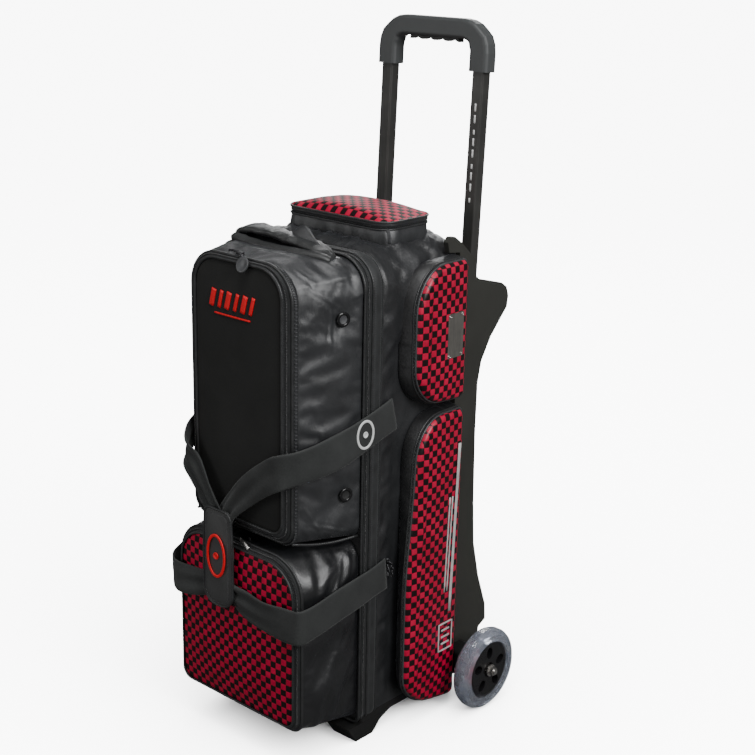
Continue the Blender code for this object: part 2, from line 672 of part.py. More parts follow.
def make_grab_handle(material):
    """Make the padded lifting loop across the top of the front compartment."""
    foot = SHOE_Z[1] + 0.0009
    path = [(-0.0700, foot), (-0.0660, 0.7380), (-0.0500, 0.7470), (-0.0200, 0.7520), (0.0200, 0.7530),
            (0.0600, 0.7510), (0.0800, 0.7430), (0.0850, foot)]
    inner, outer = [], []
    for index, (x, z) in enumerate(path):
        before = Vector(path[max(index - 1, 0)])
        after = Vector(path[min(index + 1, len(path) - 1)])
        along = (after - before).normalized()
        across = Vector((-along.y, along.x)) * 0.003
        outer.append((x + across.x, z + across.y))
        inner.append((x - across.x, z - across.y))
    return prism("grab_handle", material, outer + inner[::-1], "Y", -0.128, -0.100)


# ---- Side and top pockets -------------------------------------------------
def make_side_pocket(level, label, sign, materials):
    """Make one side pocket tray and its padded lid, hinged along the rear edge."""
    low, high = SIDE_POCKETS[level]
    front, rear = SIDE_POCKET_Y
    wall = SIDE_POCKET_WALL
    rim_wall = SIDE_DRAFT + wall
    base = rounded_outline((front, low), (rear, high), SIDE_RADII)
    rim = rounded_outline((front + SIDE_DRAFT, low + SIDE_DRAFT), (rear, high - SIDE_DRAFT), SIDE_RADII)
    rim_in = rounded_outline((front + rim_wall, low + rim_wall), (rear - wall, high - rim_wall), SIDE_RADII)
    base_in = rounded_outline((front + wall, low + wall), (rear - wall, high - wall), SIDE_RADII)
    floor = BODY_HALF_WIDTH + GAP
    loft(f"side_pocket_{level}_{label}", materials["nylon"], [
        place(base, "X", sign * floor), place(rim, "X", sign * SIDE_POCKET_RIM),
        place(rim_in, "X", sign * SIDE_POCKET_RIM), place(base_in, "X", sign * (floor + 0.002))])

    inset = LID_INSET
    lid_outline = rounded_outline((front + inset, low + inset), (SIDE_HINGE_Y, high - inset), SIDE_RADII)
    inset += SIDE_EDGE
    crown = rounded_outline((front + inset, low + inset), (SIDE_HINGE_Y - SIDE_EDGE, high - inset),
                            SIDE_CROWN_RADII)
    lid_floor = SIDE_POCKET_RIM + GAP
    lid = loft(f"side_lid_{level}_{label}", materials["checker"], [
        place(lid_outline, "X", sign * lid_floor),
        place(lid_outline, "X", sign * (SIDE_POCKET_FACE - 0.003)),
        place(crown, "X", sign * SIDE_POCKET_FACE)])
    set_pivot(lid, (sign * lid_floor, SIDE_HINGE_Y, 0.0))


def make_name_plate(label, sign, material):
    """Make the blank metal plate riveted to an upper side lid."""
    outline = rounded_outline(PLATE_LOW, PLATE_HIGH, (0.002,) * 4)
    plate = prism(f"metal_plate_{label}", material, outline, "X",
                  sign * (SIDE_POCKET_FACE + GAP), sign * (SIDE_POCKET_FACE + 0.0018))
    set_pivot(plate, (sign * (SIDE_POCKET_RIM + GAP), SIDE_HINGE_Y, 0.0))


def make_top_pocket(materials):
    """Make the shallow pocket on top of the ball bay and its lid."""
    front, rear = TOP_POCKET_Y
    half = TOP_POCKET_HALF
    radii = (TOP_RADIUS,) * 4
    base_z = BODY_TOP + GAP
    wall = SIDE_POCKET_WALL
    inset = TOP_INSET
    outer = rounded_outline((-half + inset, front + inset), (half - inset, rear - inset), radii)
    inset += wall
    inner = rounded_outline((-half + inset, front + inset), (half - inset, rear - inset), radii)
    rear_clip = SLOPE_Y - 0.014 - GAP
    outer = [(x, min(y, rear_clip)) for x, y in outer]
    inner = [(x, min(y, rear_clip - wall)) for x, y in inner]
    loft("top_pocket", materials["nylon"], [
        place(outer, "Z", base_z), place(outer, "Z", TOP_POCKET_RIM),
        place(inner, "Z", TOP_POCKET_RIM), place(inner, "Z", base_z + 0.002)])
    lid_outline = rounded_outline((-half, front), (half, rear), radii)
    edge = TOP_EDGE
    crown = rounded_outline((-half + edge, front + edge), (half - edge, rear - edge),
                            (TOP_CROWN_RADIUS,) * 4)
    lid = loft("top_pocket_lid", materials["checker"], [
        place(lid_outline, "Z", TOP_POCKET_RIM + GAP), place(lid_outline, "Z", TOP_POCKET_FACE - 0.003),
        place(crown, "Z", TOP_POCKET_FACE)])
    set_pivot(lid, (0.0, rear, TOP_POCKET_RIM + GAP))


# ---- Straps and zipper sliders --------------------------------------------
UPPER_STRAP_RIGHT = [
    (0.1350, -0.0262, 0.4960), (0.1360, -0.0700, 0.4820), (0.1335, -0.1200, 0.4660),
    (0.1260, -0.1620, 0.4530), (0.1140, -0.1940, 0.4420), (0.0930, STRAP_FRONT, 0.4310),
    (0.0580, STRAP_FRONT, 0.4130), (0.0250, STRAP_FRONT, 0.3890), (0.0000, STRAP_FRONT, 0.3640),
]
UPPER_STRAP_LEFT = [
    (-0.0440, STRAP_FRONT, 0.3640), (-0.0700, STRAP_FRONT, 0.3970), (-0.0920, STRAP_FRONT, 0.4230),
    (-0.1120, -0.2020, 0.4430), (-0.1240, -0.1700, 0.4560), (-0.1320, -0.1250, 0.4680),
    (-0.1360, -0.0750, 0.4820), (-0.1350, -0.0262, 0.4960),
]
LOWER_STRAP_RIGHT = [
    (0.1360, -0.0380, 0.2560), (0.1400, -0.0900, 0.2500), (0.1400, -0.1400, 0.2430),
    (0.1385, -0.1800, 0.2350), (0.1330, -0.2080, 0.2300), (0.1120, STRAP_FRONT, 0.2270),
    (0.0620, STRAP_FRONT, 0.2260), (0.0250, STRAP_FRONT, 0.2330), (-0.0050, STRAP_FRONT, 0.2400),
]
LOWER_STRAP_LEFT = [
    (-0.0400, STRAP_FRONT, 0.2400), (-0.0800, STRAP_FRONT - 0.0020, 0.2330), (-0.1190, -0.2125, 0.2290),
    (-0.1440, -0.1940, 0.2310), (-0.1530, -0.1500, 0.2400), (-0.1480, -0.0950, 0.2500),
    (-0.1360, -0.0380, 0.2560),
]


def make_strap(name, material, path):
    """Sweep flat webbing along a path, standing on its edge and gathered toward the middle."""
    sections = []
    for index, point in enumerate(path):
        before = Vector(path[max(index - 1, 0)])
        after = Vector(path[min(index + 1, len(path) - 1)])
        along = (after - before).normalized()
        outward = Vector((along.y, -along.x, 0.0)).normalized()
        spread = min(1.0, abs(point[0]) / STRAP_SPREAD_X)
        width = STRAP_GATHERED + (STRAP_WIDTH - STRAP_GATHERED) * spread
        across = outward.cross(along).normalized() * (width / 2)
        out = outward * (STRAP_THICKNESS / 2)
        centre = Vector(point)
        corners = (centre - across - out, centre + across - out,
                   centre + across + out, centre - across + out)
        sections.append([tuple(corner) for corner in corners])
    return loft(name, material, sections)


def make_straps(materials):
    """Make the two carry straps round the front and the wrap that holds them together."""
    make_strap("carry_strap_upper", materials["webbing"], UPPER_STRAP_RIGHT + UPPER_STRAP_LEFT)
    make_strap("carry_strap_lower", materials["webbing"], LOWER_STRAP_RIGHT + LOWER_STRAP_LEFT)
    x, z = WRAP_CENTRE
    half_x, half_z = WRAP_SIZE[0] / 2, WRAP_SIZE[1] / 2
    outline = rounded_outline((x - half_x, z - half_z), (x + half_x, z + half_z), (0.010,) * 4)
    prism("strap_wrap", materials["padding"], outline, "Y", WRAP_FRONT,
          STRAP_FRONT - STRAP_THICKNESS / 2 - 0.0025)


def make_slider(name, centre, material):
    """Make a zipper slider: a small block that runs along its zipper."""
    middle = Vector(centre)
    half = Vector(SLIDER_HALF)
    slider = block(name, material, middle - half, middle + half)
    set_pivot(slider, centre)


def main():
    """Build every piece."""
    for old in list(bpy.data.objects):
        bpy.data.objects.remove(old, do_unlink=True)
    materials = {name: make_material(name, *values) for name, values in PALETTE.items()}

    make_bay(materials)
    make_axle(materials)
    make_feet(materials)
    for label, sign in (("left", -1), ("right", 1)):
        make_cheek(label, sign, materials)
        make_wheel(label, sign, materials)
        for level in SIDE_POCKETS:
            make_side_pocket(level, label, sign, materials)
        make_name_plate(label, sign, materials["plate"])
    make_top_pocket(materials)
    make_straps(materials)

    handle_axis = make_handle_axis()
    for piece in make_handle(materials):
        piece.parent = handle_axis

    door_hinge = bpy.data.objects.new("door_hinge", None)
    door_hinge.location = DOOR_HINGE
    bpy.context.collection.objects.link(door_hinge)
    bpy.context.view_layer.update()
    for piece in make_door(materials):
        piece.parent = door_hinge
        piece.matrix_parent_inverse = door_hinge.matrix_world.inverted()
    make_shoe_lid(materials)

    make_slider("main_zip_slider", (0.020, BAY_FRONT + 0.005, BODY_TOP + 0.003), materials["zip"])
    make_slider("shoe_zip_slider", (-0.010, SHOE_FRONT + LID_THICKNESS + 0.005, 0.7240),
                materials["zip"])
    make_slider("pocket_zip_slider", (0.010, -0.1890, 0.3208), materials["zip"])


main()
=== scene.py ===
"""Looks of the three-ball roller bag: soft goods, trims, materials, light and camera.

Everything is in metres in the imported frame: +Z up, +X to the bag's right, +Y to the rear.
"""

from math import copysign, cos, exp, hypot, pi, radians, sin, sqrt

import bmesh
import bpy
import numpy as np
from mathutils import Matrix, Vector, noise


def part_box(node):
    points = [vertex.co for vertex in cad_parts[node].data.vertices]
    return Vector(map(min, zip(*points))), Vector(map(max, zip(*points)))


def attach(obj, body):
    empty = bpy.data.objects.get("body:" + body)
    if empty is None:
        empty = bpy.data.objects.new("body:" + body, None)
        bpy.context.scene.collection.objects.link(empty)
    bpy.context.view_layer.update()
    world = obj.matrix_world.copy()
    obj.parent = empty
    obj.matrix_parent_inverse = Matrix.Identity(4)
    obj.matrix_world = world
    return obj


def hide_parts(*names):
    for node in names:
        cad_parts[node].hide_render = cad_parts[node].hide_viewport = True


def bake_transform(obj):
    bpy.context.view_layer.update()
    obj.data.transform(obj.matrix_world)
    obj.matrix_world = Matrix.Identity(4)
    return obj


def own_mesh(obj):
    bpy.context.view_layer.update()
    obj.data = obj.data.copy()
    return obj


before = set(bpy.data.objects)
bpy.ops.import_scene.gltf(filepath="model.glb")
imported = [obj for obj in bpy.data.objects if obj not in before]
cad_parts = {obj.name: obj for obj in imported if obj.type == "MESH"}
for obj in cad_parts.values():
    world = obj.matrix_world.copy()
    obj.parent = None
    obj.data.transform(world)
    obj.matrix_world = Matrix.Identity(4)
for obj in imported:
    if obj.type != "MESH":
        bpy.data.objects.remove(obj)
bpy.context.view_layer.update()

MM = 0.001
SIDES = (("left", -1.0), ("right", 1.0))
UP, REARWARD = Vector((0.0, 0.0, 1.0)), Vector((0.0, 1.0, 0.0))
UV_NAME = "Run"
ROOM_LIGHT, BACKDROP_LIGHT, FLOOR_LIGHT = 0.2, 30.0, 30.0


# ---- Camera, light and floor ----------------------------------------------
def make_camera():
    """Place the camera at the photograph's angle."""
    azimuth, elevation, roll = (radians(v) for v in (41.5443, 17.4975, 1.1318))
    forward = Vector((-sin(azimuth) * cos(elevation), cos(azimuth) * cos(elevation), -sin(elevation)))
    right = forward.cross(UP).normalized()
    up = right.cross(forward)
    right, up = (right * cos(roll) + up * sin(roll), up * cos(roll) - right * sin(roll))
    data = bpy.data.cameras.new("camera")
    data.lens = 69.01
    data.sensor_width = 36.0
    data.clip_start, data.clip_end = 0.05, 200.0
    camera = bpy.data.objects.new("camera", data)
    rotation = Matrix((right, up, -forward)).transposed()
    camera.matrix_world = Matrix.Translation((1.3839, -1.4726, 1.1505)) @ rotation.to_4x4()
    bpy.context.collection.objects.link(camera)
    bpy.context.scene.camera = camera


def make_light(name, place, target, size, power, colour=(1.0, 1.0, 1.0)):
    """Hang one soft box that faces a target point."""
    data = bpy.data.lights.new(name, "AREA")
    data.shape = "RECTANGLE"
    data.size, data.size_y = size
    data.energy = power
    data.color = colour
    light = bpy.data.objects.new(name, data)
    light.location = place
    light.rotation_euler = (Vector(target) - Vector(place)).to_track_quat("-Z", "Y").to_euler()
    bpy.context.collection.objects.link(light)
    return light


def make_stage():
    """Make the pale floor, the even surrounding light and the soft boxes."""
    world = bpy.data.worlds.new("studio")
    world.use_nodes = True
    bpy.context.scene.world = world
    tree = world.node_tree
    back = tree.nodes["Background"]
    back.inputs["Color"].default_value = (1.0, 1.0, 1.0, 1.0)
    rays = tree.nodes.new("ShaderNodeLightPath")
    level = tree.nodes.new("ShaderNodeMapRange")
    level.inputs["To Min"].default_value = ROOM_LIGHT
    level.inputs["To Max"].default_value = BACKDROP_LIGHT
    tree.links.new(rays.outputs["Is Camera Ray"], level.inputs["Value"])
    tree.links.new(level.outputs["Result"], back.inputs["Strength"])

    floor = bpy.data.meshes.new("floor")
    floor.from_pydata([(-60, -60, 0), (60, -60, 0), (60, 60, 0), (-60, 60, 0)], [], [(0, 1, 2, 3)])
    thing = bpy.data.objects.new("floor", floor)
    bpy.context.collection.objects.link(thing)
    paint = Shade("floor_paint")
    shown = paint.add("LightPath").outputs["Is Camera Ray"]
    paint.set(Base_Color=paint.mix(shown, (0.015, 0.015, 0.015), (0.94, 0.94, 0.94)), Roughness=0.9,
              Specular_IOR_Level=0.0)
    floor.materials.append(paint.material)

    target = (0.0, 0.0, 0.45)
    make_light("key_box", (2.2, -0.3, 1.9), target, (1.1, 1.1), 60.0)
    make_light("front_box", (-1.2, -2.6, 1.5), target, (1.0, 1.6), 17.0)
    make_light("top_box", (0.5, -0.6, 2.9), target, (1.0, 1.0), 26.0)
    make_light("rear_box", (-1.6, 2.3, 1.9), target, (1.2, 1.2), 30.0)
    bounce = make_light("low_bounce", (0.3, -1.6, 0.06), (0.0, -0.1, 0.12), (1.6, 0.4), 3.0)
    bounce.visible_camera = False
    data = bpy.data.lights.new("floor_wash", "SUN")
    data.energy = FLOOR_LIGHT
    data.angle = radians(100)
    wash = bpy.data.objects.new("floor_wash", data)
    wash.rotation_euler = (radians(8), radians(14), 0.0)
    bpy.context.collection.objects.link(wash)
    lit = bpy.data.collections.new("lit_by_floor_wash")
    lit.objects.link(thing)
    wash.light_linking.receiver_collection = lit


# ---- Material helper ------------------------------------------------------
class Shade:
    """One procedural Principled material, with short calls for its nodes."""

    def __init__(self, name):
        self.material = bpy.data.materials.new(name)
        self.material.use_nodes = True
        self.nodes = self.material.node_tree.nodes
        self.links = self.material.node_tree.links
        self.shader = self.nodes["Principled BSDF"]

    def set(self, **values):
        """Set the shader's sockets: a number, a colour, or another node's socket."""
        for name, value in values.items():
            socket = self.shader.inputs[name.replace("_", " ")]
            self.feed(socket, value)
        return self

    def feed(self, socket, value):
        """Put a value or a link into a socket."""
        if isinstance(value, bpy.types.NodeSocket):
            self.links.new(value, socket)
        elif socket.type == "RGBA":
            socket.default_value = (*value[:3], 1.0)
        else:
            socket.default_value = value

    def add(self, kind, settings=None, **inputs):
        """Add a node, with its settings and its inputs."""
        node = self.nodes.new("ShaderNode" + kind)
        for key, value in (settings or {}).items():
            setattr(node, key, value)
        for key, value in inputs.items():
            self.feed(node.inputs[key.replace("_", " ")], value)
        return node

    def math(self, operation, first, second=0.0):
        """Return the result of one sum on two values."""
        node = self.nodes.new("ShaderNodeMath")
        node.operation = operation
        self.feed(node.inputs[0], first)
        self.feed(node.inputs[1], second)
        return node.outputs[0]

    def wave(self, value, pitch):
        """Return a sine wave along a value, with a pitch in metres."""
        return self.math("SINE", self.math("MULTIPLY", value, 2 * pi / pitch))

    def place(self):
        """Return the object's own coordinates, which are metres in the frame."""
        return self.add("TexCoord").outputs["Object"]

    def run(self):
        """Return metres along and across a strip."""
        return self.add("UVMap", {"uv_map": UV_NAME}).outputs["UV"]

    def split(self, vector):
        """Return a vector's three parts."""
        return self.add("SeparateXYZ", Vector=vector).outputs

    def join(self, x, y, z=0.0):
        """Return a vector from three parts."""
        return self.add("CombineXYZ", X=x, Y=y, Z=z).outputs[0]

    def noise(self, vector, scale, detail=3.0, rough=0.55):
        """Return a noise value from 0 to 1; scale is in cycles per metre."""
        return self.add("TexNoise", Vector=vector, Scale=scale, Detail=detail, Roughness=rough).outputs[0]

    def stretch(self, vector, factors):
        """Scale a vector's parts one by one."""
        node = self.add("VectorMath", {"operation": "MULTIPLY"})
        self.feed(node.inputs[0], vector)
        node.inputs[1].default_value = factors
        return node.outputs[0]

    def ramp(self, value, *stops):
        """Return a colour ramp's colour; each stop is (position, colour)."""
        node = self.nodes.new("ShaderNodeValToRGB")
        self.feed(node.inputs[0], value)
        elements = node.color_ramp.elements
        while len(elements) < len(stops):
            elements.new(0.5)
        for element, (position, colour) in zip(elements, stops):
            element.position = position
            element.color = (*colour, 1.0)
        return node.outputs[0]

    def span(self, value, low, high, to_low=0.0, to_high=1.0):
        """Map a value from one range to another, held at its ends."""
        node = self.add("MapRange", {"clamp": True}, Value=value, From_Min=low, From_Max=high, To_Min=to_low,
                        To_Max=to_high)
        return node.outputs[0]

    def mix(self, factor, first, second):
        """Return a mix of two colours."""
        node = self.nodes.new("ShaderNodeMix")
        node.data_type = "RGBA"
        self.feed(node.inputs[0], factor)
        self.feed(node.inputs[6], first)
        self.feed(node.inputs[7], second)
        return node.outputs[2]

    def bump(self, *layers):
        """Stack bump layers, each (height, distance in metres, strength), onto the shader's normal."""
        normal = None
        for height, distance, strength in layers:
            node = self.add("Bump", Height=height, Distance=distance, Strength=strength)
            if normal is not None:
                self.links.new(normal, node.inputs["Normal"])
            normal = node.outputs[0]
        self.links.new(normal, self.shader.inputs["Normal"])
        return self


# ---- Materials ------------------------------------------------------------
def weave_height(shade, vector, pitch):
    """Return a plain weave's height in the three planes at once."""
    x, y, z = shade.split(vector)
    waves = [shade.wave(part, pitch) for part in (x, y, z)]
    return shade.math("ADD", shade.math("MULTIPLY", waves[0], waves[2]),
                      shade.math("MULTIPLY", waves[1], shade.math("ADD", waves[0], waves[2])))


def nylon_material(name="nylon", shine=0.36, colour=(0.015, 0.0158, 0.017), crinkle=0.4):
    """Coated polyester: near black, with a cool sheen, fine weave and crinkles."""
    s = Shade(name)
    place = s.place()
    cloud = s.noise(place, 18.0, 4.0, 0.6)
    fine = s.noise(place, 420.0, 2.0, 0.5)
    folds = s.noise(s.stretch(place, (1.0, 1.0, 0.7)), 34.0, 3.0, 0.5)
    crease = s.math("ABSOLUTE", s.math("SUBTRACT", folds, 0.5))
    wrinkle = s.span(crease, 0.0, 0.13, 1.0, 0.0)
    tone = tuple(v * 1.9 for v in colour)
    s.set(Base_Color=s.ramp(cloud, (0.3, colour), (0.75, tone)),
          Roughness=s.span(s.math("ADD", cloud, s.math("MULTIPLY", fine, 0.25)), 0.3, 1.0, shine - 0.06,
                           shine + 0.16),
          Sheen_Weight=0.05, Sheen_Roughness=0.35, Sheen_Tint=(0.75, 0.8, 0.9), Specular_IOR_Level=0.85)
    s.bump((weave_height(s, place, 1.1 * MM), 0.12 * MM, 0.3),
           (wrinkle, 0.7 * MM * crinkle, 0.34),
           (s.noise(s.stretch(place, (1.0, 1.0, 0.7)), 40.0, 2.5, 0.5), 1.5 * MM * crinkle, 0.42))
    return s.material


def padding_material():
    """Matte black padded facing with a brushed, slightly uneven surface."""
    s = Shade("padding")
    place = s.place()
    cloud = s.noise(place, 9.0, 3.0, 0.6)
    fibre = s.noise(s.stretch(place, (1.0, 1.0, 0.5)), 900.0, 2.0, 0.6)
    s.set(Base_Color=s.ramp(cloud, (0.3, (0.0125, 0.0125, 0.012)), (0.8, (0.021, 0.021, 0.0204))),
          Roughness=s.span(fibre, 0.3, 0.7, 0.78, 0.92), Sheen_Weight=0.05, Sheen_Roughness=0.5,
          Sheen_Tint=(0.9, 0.9, 0.85), Specular_IOR_Level=0.22)
    s.bump((fibre, 0.25 * MM, 0.35), (weave_height(s, place, 1.5 * MM), 0.08 * MM, 0.25),
           (s.noise(place, 26.0, 2.0, 0.5), 1.2 * MM, 0.25))
    return s.material


def checker_material(name, plane, gloss=0.42, coat=0.05, coat_rough=0.16):
    """Laminated cloth with raised red and black checks; plane names the two coordinates it runs along."""
    check = 9.4 * MM
    s = Shade(name)
    place = s.place()
    parts = dict(zip("xyz", s.split(place)))
    ripple = s.noise(place, 30.0, 2.0, 0.5)
    first = s.math("ADD", parts[plane[0]], s.math("MULTIPLY", s.math("SUBTRACT", ripple, 0.5), 0.9 * MM))
    second = parts[plane[1]]
    cell_u = s.math("DIVIDE", first, check)
    cell_v = s.math("DIVIDE", second, check)
    whole = s.math("ADD", s.math("FLOOR", cell_u), s.math("FLOOR", cell_v))
    odd = s.math("FLOORED_MODULO", whole, 2.0)
    edge_u = s.math("ABSOLUTE", s.math("SUBTRACT", s.math("FRACT", cell_u), 0.5))
    edge_v = s.math("ABSOLUTE", s.math("SUBTRACT", s.math("FRACT", cell_v), 0.5))
    far = s.math("MAXIMUM", edge_u, edge_v)
    pillow = s.span(far, 0.28, 0.5, 1.0, 0.0)
    cloud = s.noise(place, 34.0, 3.0, 0.6)
    thread = s.noise(s.join(s.math("MULTIPLY", first, 260.0), s.math("MULTIPLY", second, 1400.0)), 1.0, 2.0,
                     0.6)
    red = s.ramp(s.math("ADD", s.math("MULTIPLY", cloud, 0.7), s.math("MULTIPLY", thread, 0.3)),
                 (0.32, (0.36, 0.001, 0.027)), (0.7, (0.62, 0.004, 0.054)))
    black = s.ramp(thread, (0.3, (0.0035, 0.0012, 0.0012)), (0.75, (0.011, 0.0035, 0.0035)))
    body = s.mix(odd, black, red)
    seam = s.span(far, 0.45, 0.5, 0.0, 0.55)
    s.set(Base_Color=s.mix(seam, body, (0.045, 0.0022, 0.0045)),
          Roughness=s.span(s.math("ADD", s.math("MULTIPLY", odd, -0.05), cloud), 0.2, 0.8, gloss,
                           gloss + 0.14),
          Specular_IOR_Level=0.22, Coat_Weight=coat, Coat_Roughness=coat_rough)
    s.bump((thread, 0.1 * MM, 0.35), (s.math("ADD", pillow, s.math("MULTIPLY", odd, 0.35)), 0.35 * MM, 0.55),
           (s.noise(place, 42.0, 3.0, 0.5), 1.1 * MM, 0.35))
    return s.material


def webbing_material():
    """Woven strap: fine cross ribs, a denser selvedge and a little lint."""
    s = Shade("webbing")
    along, across = s.split(s.run())[:2]
    place = s.place()
    rib = s.wave(along, 1.5 * MM)
    row = s.wave(across, 1.9 * MM)
    edge = s.span(s.math("ABSOLUTE", across), 21.6 * MM, 23.0 * MM, 0.0, 1.0)
    cloud = s.noise(place, 26.0, 3.0, 0.6)
    lint = s.noise(place, 700.0, 2.0, 0.5)
    ground = s.ramp(s.math("ADD", s.math("MULTIPLY", cloud, 0.6), s.math("MULTIPLY", lint, 0.4)),
                    (0.3, (0.019, 0.0205, 0.0202)), (0.72, (0.036, 0.0385, 0.0378)))
    s.set(Base_Color=s.mix(s.math("MULTIPLY", edge, 0.5), ground, (0.034, 0.036, 0.036)),
          Roughness=s.span(lint, 0.3, 0.7, 0.62, 0.8), Sheen_Weight=0.1, Sheen_Roughness=0.45,
          Specular_IOR_Level=0.35)
    s.bump((s.math("ADD", rib, s.math("MULTIPLY", row, 0.7)), 0.16 * MM, 0.5), (edge, 0.35 * MM, 0.5),
           (s.noise(place, 60.0, 3.0, 0.5), 0.9 * MM, 0.35))
    return s.material


def piping_material(name="piping", colour=(0.018, 0.0186, 0.0192), rough=0.3):
    """Cord piping covered in thin vinyl, with the small puckers of its stitching."""
    s = Shade(name)
    along = s.split(s.run())[0]
    place = s.place()
    pucker = s.wave(along, 3.6 * MM)
    cloud = s.noise(place, 70.0, 3.0, 0.6)
    s.set(Base_Color=s.ramp(cloud, (0.3, colour), (0.8, tuple(v * 1.8 for v in colour))),
          Roughness=s.span(cloud, 0.2, 0.8, rough, rough + 0.16), Specular_IOR_Level=0.5)
    s.bump((pucker, 0.18 * MM, 0.35), (cloud, 0.5 * MM, 0.4))
    return s.material


def tape_material():
    """Zipper tape: a fine herringbone with a row of stitches along each edge."""
    s = Shade("tape")
    along, across = s.split(s.run())[:2]
    place = s.place()
    slant = s.math("ADD", s.math("MULTIPLY", along, 2 * pi / (1.3 * MM)),
                   s.math("MULTIPLY", s.math("ABSOLUTE", across), 2 * pi / (1.1 * MM)))
    cloud = s.noise(place, 46.0, 3.0, 0.6)
    stitch = s.math("MULTIPLY", s.span(s.wave(along, 3.2 * MM), -0.1, 0.5),
                    s.span(s.math("ABSOLUTE", across), 3.9 * MM, 4.3 * MM))
    cloth = s.ramp(cloud, (0.3, (0.014, 0.015, 0.0153)), (0.8, (0.027, 0.029, 0.0297)))
    s.set(Base_Color=s.mix(stitch, cloth, (0.032, 0.034, 0.036)),
          Roughness=s.span(cloud, 0.2, 0.8, 0.46, 0.62), Sheen_Weight=0.08, Specular_IOR_Level=0.4)
    s.bump((s.math("SINE", slant), 0.09 * MM, 0.4), (stitch, 0.4 * MM, 0.6),
           (s.noise(place, 80.0, 3.0, 0.5), 0.8 * MM, 0.4))
    return s.material


def coil_material():
    """Zipper coil: closely pitched teeth, with a painted highlight on the top of each turn and painted shade
    between the turns.
    """
    s = Shade("zip_coil")
    along = s.split(s.run())[0]
    tooth = s.wave(along, 2.0 * MM)
    # Painted light: the colour is brighter on each tooth's top as a painted highlight and near black between
    # teeth as painted shade.
    s.set(Base_Color=s.ramp(s.span(tooth, -1.0, 1.0), (0.25, (0.004, 0.004, 0.004)),
                            (0.8, (0.04, 0.041, 0.043))),
          Roughness=s.span(tooth, -1.0, 1.0, 0.55, 0.26), Specular_IOR_Level=0.6)
    s.bump((tooth, 0.7 * MM, 0.8),)
    return s.material


def plastic_material(name, low, high, rough, grain=0.1, scale=900.0, wear=None):
    """Moulded plastic: a fine grain, soft tone changes and, where asked for, scuffed high spots."""
    s = Shade(name)
    place = s.place()
    cloud = s.noise(place, 7.0, 3.0, 0.6)
    pore = s.noise(place, scale, 2.0, 0.5)
    colour = s.ramp(cloud, (0.3, low), (0.75, high))
    if wear is not None:
        scratch = s.noise(s.stretch(place, (1.0, 0.35, 0.25)), 130.0, 4.0, 0.7)
        spot = s.span(scratch, 0.69, 0.76, 0.0, 0.55)
        colour = s.mix(spot, colour, wear)
    s.set(Base_Color=colour, Roughness=s.span(s.math("ADD", cloud, s.math("MULTIPLY", pore, 0.3)), 0.35, 0.95,
                                              rough - 0.05, rough + 0.12), Specular_IOR_Level=0.45)
    s.bump((pore, grain * MM, 0.4), (s.noise(place, 14.0, 2.0, 0.5), 0.6 * MM, 0.12))
    return s.material


def tube_material():
    """Black coated aluminium tube with faint drawing lines and a thin wear tone."""
    s = Shade("tube")
    place = s.place()
    lines = s.noise(s.stretch(place, (1.0, 1.0, 0.02)), 700.0, 3.0, 0.6)
    cloud = s.noise(place, 16.0, 3.0, 0.6)
    s.set(Base_Color=s.ramp(cloud, (0.3, (0.042, 0.0415, 0.0395)), (0.8, (0.068, 0.0675, 0.063))),
          Metallic=0.35, Roughness=s.span(lines, 0.25, 0.75, 0.27, 0.4), Specular_IOR_Level=0.5)
    s.bump((lines, 0.05 * MM, 0.35),)
    return s.material


def metal_material(name, colour, rough, brush):
    """Bare metal, brushed along one direction."""
    s = Shade(name)
    place = s.place()
    lines = s.noise(s.stretch(place, brush), 900.0, 3.0, 0.65)
    cloud = s.noise(place, 60.0, 3.0, 0.6)
    s.set(Base_Color=s.ramp(s.math("ADD", s.math("MULTIPLY", lines, 0.5), s.math("MULTIPLY", cloud, 0.5)),
                            (0.3, tuple(v * 0.72 for v in colour)), (0.7, colour)), Metallic=1.0,
          Roughness=s.span(lines, 0.25, 0.75, rough, rough + 0.18))
    s.bump((lines, 0.06 * MM, 0.4),)
    return s.material


def clear_material():
    """Clear bluish urethane with the cloudy streaks of a cast tyre."""
    s = Shade("clear_urethane")
    place = s.place()
    swirl = s.noise(place, 90.0, 4.0, 0.6)
    s.set(Base_Color=s.ramp(swirl, (0.3, (0.62, 0.68, 0.86)), (0.7, (0.9, 0.93, 0.99))),
          Roughness=s.span(swirl, 0.3, 0.7, 0.05, 0.22), Transmission_Weight=0.88, IOR=1.46,
          Specular_IOR_Level=0.6)
    s.bump((swirl, 1.2 * MM, 0.4),)
    return s.material


def enamel_material(name, low, high, rough=0.34):
    """Moulded badge or thick embroidery, slightly uneven."""
    s = Shade(name)
    place = s.place()
    thread = s.noise(s.stretch(place, (1.0, 1.0, 0.2)), 900.0, 2.0, 0.6)
    cloud = s.noise(place, 80.0, 3.0, 0.6)
    s.set(Base_Color=s.ramp(cloud, (0.3, low), (0.75, high)),
          Roughness=s.span(thread, 0.3, 0.7, rough, rough + 0.2), Specular_IOR_Level=0.5)
    s.bump((thread, 0.2 * MM, 0.4),)
    return s.material


def foam_material():
    """Open-cell foam of the ball cradles."""
    s = Shade("foam")
    place = s.place()
    cell = s.add("TexVoronoi", {"feature": "F1"}, Vector=place, Scale=420.0).outputs[0]
    cloud = s.noise(place, 30.0, 3.0, 0.6)
    s.set(Base_Color=s.ramp(cloud, (0.3, (0.018, 0.018, 0.019)), (0.8, (0.036, 0.036, 0.038))),
          Roughness=0.92, Specular_IOR_Level=0.2)
    s.bump((cell, 0.8 * MM, 0.6),)
    return s.material


